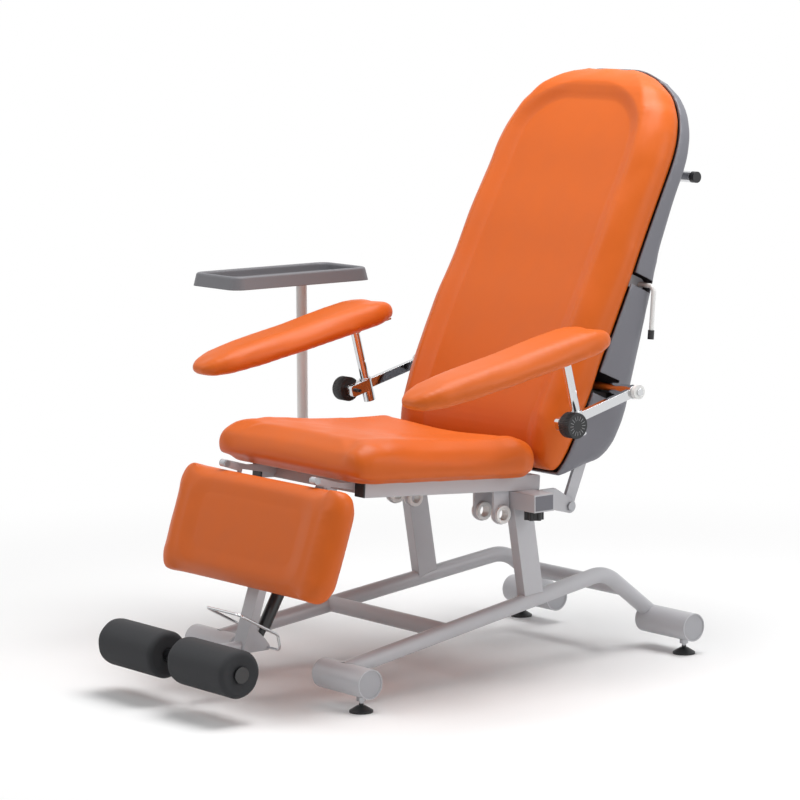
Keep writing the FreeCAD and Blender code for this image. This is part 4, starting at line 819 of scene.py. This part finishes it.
@dataclass
class MouldedShell:
    """Moulded back shell: the CAD solid with its lofted facets evened out and its cut edges kept."""

    longest: float = 0.016
    halvings: int = 6
    first_share: float = 0.45
    last_share: float = 0.80
    sharp_degrees: float = 38.0
    trims: int = 25
    straight_cosine: float = 0.80
    passes: int = 60
    keep_share: float = 0.92
    same_place: float = 1e-6

    def build(self) -> bpy.types.Object:
        """Refine the solid's mesh and even it out.

        Returns:
            The finished shell.
        """
        item = new_object("back_shell_moulded", bpy.data.meshes.new("back_shell_moulded"))
        shell = bmesh.new()
        shell.from_mesh(frame["nodes"]["back_shell"].data)
        bmesh.ops.remove_doubles(shell, verts=shell.verts, dist=1e-5)
        self._thin(item, shell, self.first_share)
        shell = bmesh.new()
        shell.from_mesh(item.data)
        for _halving in range(self.halvings):
            bmesh.ops.triangulate(shell, faces=shell.faces)
            long_edges = [edge for edge in shell.edges if edge.calc_length() > self.longest]
            bmesh.ops.subdivide_edges(shell, edges=long_edges, cuts=1)
        bmesh.ops.triangulate(shell, faces=shell.faces)
        shell.verts.ensure_lookup_table()
        points = self._even(shell)
        for vertex, point in zip(shell.verts, points):
            vertex.co = point
        self._thin(item, shell, self.last_share)
        dress(item, SHELL_PLASTIC, "back")
        item.data.set_sharp_from_angle(angle=math.radians(self.sharp_degrees))
        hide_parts("back_shell")
        return item

    @staticmethod
    def _drop_doubled(shell: bmesh.types.BMesh) -> None:
        """Delete facets that lie back to back on the same three corners.

        Args:
            shell: Mesh to clean.
        """
        shell.verts.index_update()
        corners = {}
        for face in shell.faces:
            corners.setdefault(tuple(sorted(vertex.index for vertex in face.verts)), []).append(face)
        doubled = [face for faces in corners.values() if len(faces) > 1 for face in faces]
        bmesh.ops.delete(shell, geom=doubled, context="FACES")

    def _thin(self, item: bpy.types.Object, shell: bmesh.types.BMesh, share: float) -> None:
        """Collapse the needless facets, slivers first, and keep the mesh closed.

        Args:
            item: Object that takes the mesh.
            shell: Mesh, freed here.
            share: Share of its facets that stays.
        """
        self._drop_doubled(shell)
        shell.to_mesh(item.data)
        shell.free()
        item.modifiers.new("thin", "DECIMATE").ratio = share
        settle(item)
        merged = bmesh.new()
        merged.from_mesh(item.data)
        bmesh.ops.remove_doubles(merged, verts=merged.verts, dist=self.same_place)
        self._drop_doubled(merged)
        merged.to_mesh(item.data)
        merged.free()

    def _even(self, shell: bmesh.types.BMesh) -> np.ndarray:
        """Even out the surface between its sharp edges, and the sharp edges along themselves.

        Args:
            shell: Refined mesh.

        Returns:
            New places of its vertices.
        """
        limit = math.radians(self.sharp_degrees)
        pairs = np.array([[vertex.index for vertex in edge.verts] for edge in shell.edges])
        sharp = np.array([edge.calc_face_angle(math.pi) > limit for edge in shell.edges])
        points = np.array([vertex.co for vertex in shell.verts])
        number = len(points)
        for _trim in range(self.trims):
            rims = np.bincount(pairs[sharp].ravel(), minlength=number)
            sharp &= (rims[pairs] != 1).all(axis=1)
        rims = np.bincount(pairs[sharp].ravel(), minlength=number)
        ends = np.concatenate([pairs, pairs[:, ::-1]])
        ends = ends[np.concatenate([sharp, sharp]) | (rims[ends[:, 0]] == 0)]
        count = np.maximum(np.bincount(ends[:, 0], minlength=number), 1)
        soft = np.where(rims == 0, 1.0, 0.0)
        for index in np.flatnonzero(rims == 2):
            first, second = ends[ends[:, 0] == index, 1]
            before = points[index] - points[first]
            after = points[second] - points[index]
            cosine = before @ after / max(np.linalg.norm(before) * np.linalg.norm(after), 1e-12)
            soft[index] = float(cosine > self.straight_cosine)
        for step in (0.5, -0.5 * self.keep_share) * self.passes:
            around = np.stack([np.bincount(ends[:, 0], points[ends[:, 1], axis], number)
                               for axis in range(3)], axis=1)
            points = points + (around / count[:, None] - points) * (soft * step)[:, None]
        return points


@dataclass
class MouldedTray:
    """Moulded tray: a skirt that flares downwards, a rolled rim, a sunken floor and a round plate below."""

    plate_radius: float = 0.040
    plate_thickness: float = 0.005
    corner: float = 0.030
    flare: float = 0.005
    rim: float = 0.006
    wall: float = 0.013
    floor_height: float = 0.008
    fillet: float = 0.006
    corner_steps: int = 10
    arc_steps: int = 6
    sharp_degrees: float = 40.0

    def build(self) -> bpy.types.Object:
        """Stack the tray's outlines and close them.

        Returns:
            The finished tray.
        """
        low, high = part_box("tray")
        base = low.z + self.plate_thickness
        middle = (low + high) / 2
        half = (high - low) / 2
        shell = bmesh.new()
        rings = [[shell.verts.new((middle.x + x, middle.y + y, base + level))
                  for x, y in self._outline(half, inset)]
                 for inset, level in self._profile(high.z - base)]
        for ring, after in zip(rings, rings[1:]):
            for first in range(len(ring)):
                second = (first + 1) % len(ring)
                shell.faces.new((ring[first], ring[second], after[second], after[first]))
        shell.faces.new(rings[0])
        shell.faces.new(rings[-1])
        pole = joint_place("tray_swing")
        plate = Matrix.Translation((pole.x, pole.y, low.z + self.plate_thickness / 2))
        bmesh.ops.create_cone(shell, cap_ends=True, segments=64, radius1=self.plate_radius,
                              radius2=self.plate_radius, depth=self.plate_thickness, matrix=plate)
        bmesh.ops.recalc_face_normals(shell, faces=shell.faces)
        mesh = bpy.data.meshes.new("tray_moulded")
        shell.to_mesh(mesh)
        shell.free()
        item = dress(new_object("tray_moulded", mesh), TRAY_PLASTIC, "tray")
        item.data.set_sharp_from_angle(angle=math.radians(self.sharp_degrees))
        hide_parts("tray")
        return item

    def _profile(self, height: float) -> list[tuple[float, float]]:
        """Half section from the bottom edge over the rim to the sunken floor.

        Args:
            height: Height of the tray.

        Returns:
            Insets from the widest outline and heights.
        """
        turns = np.linspace(0, math.pi / 2, self.arc_steps)
        inner = self.flare + self.wall
        outside = [(self.flare + self.rim * (1 - math.cos(turn)), height - self.rim * (1 - math.sin(turn)))
                   for turn in turns]
        inside = [(inner - self.rim * (1 - math.sin(turn)), height - self.rim * (1 - math.cos(turn)))
                  for turn in turns]
        foot = [(inner + self.fillet * (1 - math.cos(turn)),
                 self.floor_height + self.fillet * (1 - math.sin(turn))) for turn in turns]
        return [(0.0, 0.0), *outside, *inside, *foot]

    def _outline(self, half: Vector, inset: float) -> list[tuple[float, float]]:
        """Rounded rectangle.

        Args:
            half: Half sizes of the widest outline.
            inset: Distance in from it.

        Returns:
            Its points in order.
        """
        radius = self.corner - inset / 2
        points = []
        for number, (side, end) in enumerate(((1, 1), (-1, 1), (-1, -1), (1, -1))):
            for turn in np.linspace(0, math.pi / 2, self.corner_steps):
                angle = turn + number * math.pi / 2
                points.append((side * (half.x - inset - radius) + radius * math.cos(angle),
                               end * (half.y - inset - radius) + radius * math.sin(angle)))
        return points


class Bit(Enum):
    """Small repeated thing that Geometry Nodes set on points."""

    SCREW = "screw"
    MARK = "mark"
    RIB = "rib"
    WELD = "weld"


@dataclass
class Scatter:
    """Small repeated things on points, set by one Geometry Nodes tree."""

    name: str
    bit: Bit
    body: str
    slot: str
    finish: Finish
    points: list[Vector]
    facings: list[Vector]
    radius: float
    height: float
    length: float = 0.0

    def build(self) -> bpy.types.Object:
        """Set the things on their points.

        Returns:
            One finished piece.
        """
        mesh = bpy.data.meshes.new(self.name)
        mesh.from_pydata(self.points, [], [])
        facing = mesh.attributes.new("facing", "FLOAT_VECTOR", "POINT")
        facing.data.foreach_set("vector", np.array(self.facings, float).ravel())
        item = new_object(self.name, mesh)
        modifier = item.modifiers.new("scatter", "NODES")
        modifier.node_group, sockets = self._tree()
        for socket, value in sockets:
            modifier[socket.identifier] = value
        settle(item)
        return dress(item, self.finish, self.body)

    def _tree(self) -> tuple[bpy.types.NodeTree, list[tuple[bpy.types.NodeTreeInterfaceSocket, float]]]:
        """Tree that puts the thing on each point, turned to its facing.

        Returns:
            The tree, and its size inputs with their values.
        """
        tree = bpy.data.node_groups.new(self.name + "_nodes", "GeometryNodeTree")
        interface = tree.interface
        interface.new_socket("Points", in_out="INPUT", socket_type="NodeSocketGeometry")
        sizes = (("Radius", self.radius), ("Height", self.height), ("Length", self.length))
        sockets = [(interface.new_socket(label, in_out="INPUT", socket_type="NodeSocketFloat"), value)
                   for label, value in sizes]
        interface.new_socket("Geometry", in_out="OUTPUT", socket_type="NodeSocketGeometry")
        source = add_node(tree, "NodeGroupInput")
        shape = self._shape(tree, source)
        facing = add_node(tree, "GeometryNodeInputNamedAttribute", {"Name": "facing"},
                          data_type="FLOAT_VECTOR")
        turn = add_node(tree, "FunctionNodeAlignRotationToVector", {"Vector": facing.outputs[0]}, axis="Z")
        placed = add_node(tree, "GeometryNodeInstanceOnPoints", {
            "Points": source.outputs["Points"], "Instance": shape, "Rotation": turn.outputs[0]})
        real = add_node(tree, "GeometryNodeRealizeInstances", {"Geometry": placed.outputs[0]})
        paint = add_node(tree, "GeometryNodeSetMaterial", {
            "Geometry": real.outputs[0], "Material": self.finish.material()})
        target = add_node(tree, "NodeGroupOutput")
        tree.links.new(paint.outputs[0], target.inputs["Geometry"])
        return tree, sockets

    def _shape(self, tree: bpy.types.NodeTree, source: bpy.types.Node) -> bpy.types.NodeSocket:
        """One thing, standing on its point along +Z.

        Args:
            tree: Tree that gets the nodes.
            source: Group input with the sizes.

        Returns:
            Socket with the thing's geometry.
        """
        radius, height, length = (source.outputs[label] for label in ("Radius", "Height", "Length"))
        if self.bit is Bit.SCREW:
            dome = add_node(tree, "GeometryNodeMeshUVSphere", {
                "Segments": 24, "Rings": 12, "Radius": radius})
            share = add_node(tree, "ShaderNodeMath", {0: height, 1: radius}, operation="DIVIDE")
            flat = add_node(tree, "ShaderNodeCombineXYZ", {"X": 1.0, "Y": 1.0, "Z": share.outputs[0]})
            head = add_node(tree, "GeometryNodeTransform", {
                "Geometry": dome.outputs[0], "Scale": flat.outputs[0]})
            return head.outputs[0]
        if self.bit is Bit.WELD:
            path = add_node(tree, "GeometryNodeCurvePrimitiveCircle", {"Resolution": 48, "Radius": radius})
            section = add_node(tree, "GeometryNodeCurvePrimitiveCircle", {
                "Resolution": 10, "Radius": height})
            bead = add_node(tree, "GeometryNodeCurveToMesh", {
                "Curve": path.outputs[0], "Profile Curve": section.outputs[0]})
            return bead.outputs[0]
        if self.bit is Bit.RIB:
            rib = add_node(tree, "GeometryNodeMeshCylinder", {
                "Vertices": 10, "Radius": radius, "Depth": length})
            return rib.outputs[0]
        size = add_node(tree, "ShaderNodeCombineXYZ", {"X": radius, "Y": height, "Z": length})
        return add_node(tree, "GeometryNodeMeshCube", {"Size": size.outputs[0]}).outputs[0]


@dataclass
class SmallParts:
    """Screws, marks, ribs and weld beads of the frame."""

    screw_radius: float = 0.0045
    screw_height: float = 0.0026
    plate_half_x: float = 0.022
    plate_half_y: float = 0.080
    plate_floor: float = -0.004
    tray_screw_ring: float = 0.031
    tray_screw_share: float = 0.8
    knob_marks: int = 16
    knob_mark_share: float = 0.62
    knob_mark_size: tuple[float, float, float] = (0.0008, 0.0012, 0.009)
    knob_ribs: int = 44
    knob_rib_radius: float = 0.0011
    knob_rib_share: float = 0.94
    knob_grip: float = 0.031
    weld_radius: float = 0.0016
    weld_ring: float = 0.0202
    weld_reach: float = 0.0035

    def build(self) -> None:
        """Build every group of small parts."""
        for side, sign in (("left", 1), ("right", -1)):
            self._pad_screws(side, sign)
            self._knob(side, sign)
        self._tray_screws()
        self._bush_welds()

    def _pad_screws(self, side: str, sign: int) -> None:
        """Screws through the plate under an arm pad.

        Args:
            side: Side of the chair.
            sign: Its sign along X.
        """
        reach = abs(joint_place("arm_tilt_left").x)
        spots = np.array([[sign * reach + x, y, self.plate_floor]
                          for x in (-self.plate_half_x, self.plate_half_x)
                          for y in (-self.plate_half_y, self.plate_half_y)])
        points = [Vector(row) for row in PAD.out(spots)]
        down = PAD.turn(Vector((0, 0, -1)))
        Scatter("arm_pad_screws_" + side, Bit.SCREW, "arm_post_" + side, "zinc", ZINC, points,
                [down] * len(points), self.screw_radius, self.screw_height).build()

    def _knob(self, side: str, sign: int) -> None:
        """Printed marks and grip ribs of a clamp knob.

        Args:
            side: Side of the chair.
            sign: Its sign along X.
        """
        node = "clamp_knob_" + side
        low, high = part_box(node)
        face = high.x if sign > 0 else low.x
        centre = joint_place("clamp_turn_" + side)
        radius = (high.z - low.z) / 2
        marks, mark_facings, ribs = [], [], []
        for number in range(self.knob_marks):
            angle = 2 * math.pi * number / self.knob_marks
            ray = Vector((0, math.cos(angle), math.sin(angle)))
            marks.append(Vector((face, centre.y, centre.z)) + ray * radius * self.knob_mark_share)
            mark_facings.append(ray)
        for number in range(self.knob_ribs):
            angle = 2 * math.pi * number / self.knob_ribs
            ray = Vector((0, math.cos(angle), math.sin(angle)))
            ribs.append(Vector((face - sign * self.knob_grip / 2, centre.y, centre.z)) + ray * radius)
        Scatter("knob_marks_" + side, Bit.MARK, node, "black_plastic", MARKS, marks, mark_facings,
                *self.knob_mark_size).build()
        Scatter("knob_ribs_" + side, Bit.RIB, node, "black_plastic", BLACK_PLASTIC, ribs,
                [Vector((1, 0, 0))] * len(ribs), self.knob_rib_radius, 0.0,
                self.knob_grip * self.knob_rib_share).build()

    def _tray_screws(self) -> None:
        """Screws of the round plate under the tray."""
        pole = joint_place("tray_swing")
        low, _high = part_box("tray")
        points = [Vector((pole.x + self.tray_screw_ring * math.cos(turn),
                          pole.y + self.tray_screw_ring * math.sin(turn), low.z))
                  for turn in np.radians([45, 135, 225, 315])]
        Scatter("tray_screws", Bit.SCREW, "tray", "zinc", ZINC, points, [Vector((0, 0, -1))] * len(points),
                self.screw_radius * self.tray_screw_share,
                self.screw_height * self.tray_screw_share).build()

    def _bush_welds(self) -> None:
        """Weld beads between the lift lugs and their bushes."""
        mounts = [mount for mount in frame["record"]["mounts"]
                  if mount["name"].startswith("lift_bore")]
        points, facings = [], []
        for mount in mounts:
            for sign in (1, -1):
                points.append(Vector(mount["pos_m"]) + Vector((sign * self.weld_reach, 0, 0)))
                facings.append(Vector((1, 0, 0)))
        Scatter("bush_weld_beads", Bit.WELD, "base", "powder_coat", POWDER, points, facings,
                self.weld_ring, self.weld_radius).build()


class SteelAndPlastic:
    """CAD pieces that are kept, with their real surfaces."""

    def build(self) -> None:
        """Dress every kept CAD node by its slot, or by its own name."""
        slots = {part["node"]: part["material_slot"] for part in frame["record"]["subparts"]}
        for name, item in frame["nodes"].items():
            finish = NODE_FINISHES.get(name, SLOT_FINISHES[slots[name]])
            item.data.materials.clear()
            item.data.materials.append(finish.material())
            LOG.info("%s: %s", name, finish.name)


@dataclass
class Studio:
    """White sweep, soft lights and the photograph's camera."""

    target: Vector = field(default_factory=lambda: Vector((0, 0, 0.5)))
    azimuth: float = 51.385
    elevation: float = 7.734
    roll: float = -0.281
    distance: float = 7.583
    focal_px: float = 3467.6
    image_px: float = 800.0
    target_px: tuple[float, float] = (445.83, 436.54)
    sensor_mm: float = 36.0
    floor_half: float = 12.0
    floor_near: float = 0.7
    floor_far: float = 2.4
    sky_strength: float = 0.27
    light_target: tuple[float, float, float] = (0.0, 0.0, 0.6)

    def build(self) -> None:
        """Build floor, world, lights and camera."""
        self._floor()
        self._world()
        self._lights()
        self._camera()

    def _floor(self) -> None:
        """Large pale floor."""
        half = self.floor_half
        mesh = bpy.data.meshes.new("studio_floor")
        mesh.from_pydata([(-half, -half, 0), (half, -half, 0), (half, half, 0), (-half, half, 0)], [],
                         [(0, 1, 2, 3)])
        floor = new_object("studio_floor", mesh)
        mesh.materials.append(self._floor_material())

    def _floor_material(self) -> bpy.types.Material:
        """Pale floor that runs out into plain white far from the chair.

        Returns:
            The Blender material.
        """
        material = Finish("pale_studio_floor", "#F7F7F7", 0.9).material()
        tree = material.node_tree
        shader = next(node for node in tree.nodes if node.type == "BSDF_PRINCIPLED")
        output = next(node for node in tree.nodes if node.type == "OUTPUT_MATERIAL")
        place = add_node(tree, "ShaderNodeTexCoord").outputs["Object"]
        reach = add_node(tree, "ShaderNodeVectorMath", {0: place}, operation="LENGTH")
        far = add_node(tree, "ShaderNodeMapRange", {
            "Value": reach.outputs["Value"], "From Min": self.floor_near, "From Max": self.floor_far},
            interpolation_type="SMOOTHSTEP")
        white = add_node(tree, "ShaderNodeEmission", {"Color": (1, 1, 1, 1), "Strength": 1.0})
        mix = add_node(tree, "ShaderNodeMixShader", {0: far.outputs[0]})
        tree.links.new(shader.outputs[0], mix.inputs[1])
        tree.links.new(white.outputs[0], mix.inputs[2])
        tree.links.new(mix.outputs[0], output.inputs["Surface"])
        return material

    def _world(self) -> None:
        """White background for the camera and a softer sky for the light."""
        world = bpy.data.worlds.new("studio_world")
        world.use_nodes = True
        bpy.context.scene.world = world
        tree = world.node_tree
        tree.nodes.clear()
        light = add_node(tree, "ShaderNodeBackground", {"Color": (1, 1, 1, 1), "Strength": self.sky_strength})
        seen = add_node(tree, "ShaderNodeBackground", {"Color": (1, 1, 1, 1), "Strength": 1.0})
        path = add_node(tree, "ShaderNodeLightPath")
        straight = add_node(tree, "ShaderNodeMath", {
            0: path.outputs["Is Camera Ray"], 1: path.outputs["Is Transmission Ray"]}, operation="MAXIMUM")
        seen_share = add_node(tree, "ShaderNodeMath", {
            0: straight.outputs[0], 1: path.outputs["Is Glossy Ray"]}, operation="MAXIMUM")
        mix = add_node(tree, "ShaderNodeMixShader", {0: seen_share.outputs[0]})
        tree.links.new(light.outputs[0], mix.inputs[1])
        tree.links.new(seen.outputs[0], mix.inputs[2])
        output = add_node(tree, "ShaderNodeOutputWorld")
        tree.links.new(mix.outputs[0], output.inputs["Surface"])

    def _lights(self) -> None:
        """Soft boxes: a key from the front, a fill from behind the sitter's left and a top light."""
        for name, place, size, power in (
                ("key_softbox", (-1.6, -3.0, 3.2), 2.2, 38.0),
                ("side_softbox", (3.4, 1.6, 2.2), 1.6, 35.0),
                ("top_softbox", (0.3, 0.4, 3.6), 2.2, 115.0)):
            data = bpy.data.lights.new(name, "AREA")
            data.shape = "SQUARE"
            data.size = size
            data.energy = power
            lamp = bpy.data.objects.new(name, data)
            bpy.context.scene.collection.objects.link(lamp)
            lamp.location = place
            aim = Vector(self.light_target) - Vector(place)
            lamp.rotation_euler = aim.to_track_quat("-Z", "Y").to_euler()

    def _camera(self) -> None:
        """Camera at the photograph's angle."""
        azimuth = math.radians(self.azimuth)
        elevation = math.radians(self.elevation)
        roll = math.radians(self.roll)
        back = Vector((math.sin(azimuth) * math.cos(elevation), -math.cos(azimuth) * math.cos(elevation),
                       math.sin(elevation)))
        level = Vector((math.cos(azimuth), math.sin(azimuth), 0))
        upright = back.cross(level)
        right = level * math.cos(roll) + upright * math.sin(roll)
        up = upright * math.cos(roll) - level * math.sin(roll)
        centre = self.image_px / 2
        shift_x = (self.target_px[0] - centre) / self.focal_px * self.distance
        shift_y = (centre - self.target_px[1]) / self.focal_px * self.distance
        place = self.target + back * self.distance - right * shift_x - up * shift_y
        data = bpy.data.cameras.new("photo_camera")
        data.sensor_width = self.sensor_mm
        data.lens = self.sensor_mm * self.focal_px / self.image_px
        data.clip_end = 60.0
        camera = bpy.data.objects.new("photo_camera", data)
        bpy.context.scene.collection.objects.link(camera)
        camera.matrix_world = Matrix.Translation(place) @ Matrix((right, up, back)).transposed().to_4x4()
        bpy.context.scene.camera = camera


def build_soft_and_moulded() -> None:
    """Build the five cushions, the two rollers, the tray and the back shell."""
    hollow = Dish(across=0.0, along=-0.09, radius_across=0.15, radius_along=0.11, depth=0.020)
    Cushion("seat_cushion_vinyl", "seat_cushion", "base", SEAT, along_axis=1, up_axis=2, up_sign=1,
            board="seat_board", dish=hollow, pleat_depth=0.0006, fill=0.9).build()
    back_panel = Panel(half_share=0.74, low=-0.20, high=0.915, corner=0.110, slope=0.045, depth=0.015)
    Cushion("back_cushion_vinyl", "back_cushion", "back", BACK, along_axis=2, up_axis=1, up_sign=-1,
            voxel=0.007, board="back_board", skirt=0.009, smooth_passes=140, calm_passes=60,
            rest_hold=0.2, panel=back_panel, pleat_depth=0.0002, fill=0.9).build()
    leg_panel = Panel(half_share=0.68, low=-0.210, high=-0.045, corner=0.045, slope=0.045, depth=0.006)
    Cushion("legrest_cushion_vinyl", "legrest_cushion", "legrest", LEG, along_axis=2, up_axis=1,
            up_sign=-1, board="legrest_board", panel=leg_panel, pleat_depth=0.0002, fill=0.85).build()
    left = Cushion("arm_cushion_left_vinyl", "arm_cushion_left", "arm_post_left", PAD, along_axis=1,
                   up_axis=2, up_sign=1, voxel=0.005, pleat_depth=0.0, smooth_passes=60,
                   calm_passes=60, rest_hold=0.3, shrink=-0.004, fill=0.9)
    left.build()
    MirroredCushion(left, "arm_cushion_right_vinyl", "arm_cushion_right", "arm_post_right").build()
    for side in ("left", "right"):
        FoamRoller(side).build()
    MouldedTray().build()
    MouldedShell().build()


def main() -> None:
    """Build the whole visual model and its studio."""
    logging.basicConfig(level=logging.INFO, format="%(message)s")
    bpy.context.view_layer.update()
    bpy.context.scene.view_settings.view_transform = "Standard"
    SteelAndPlastic().build()
    build_soft_and_moulded()
    SmallParts().build()
    Studio().build()


if __name__ == "__main__":
    main()
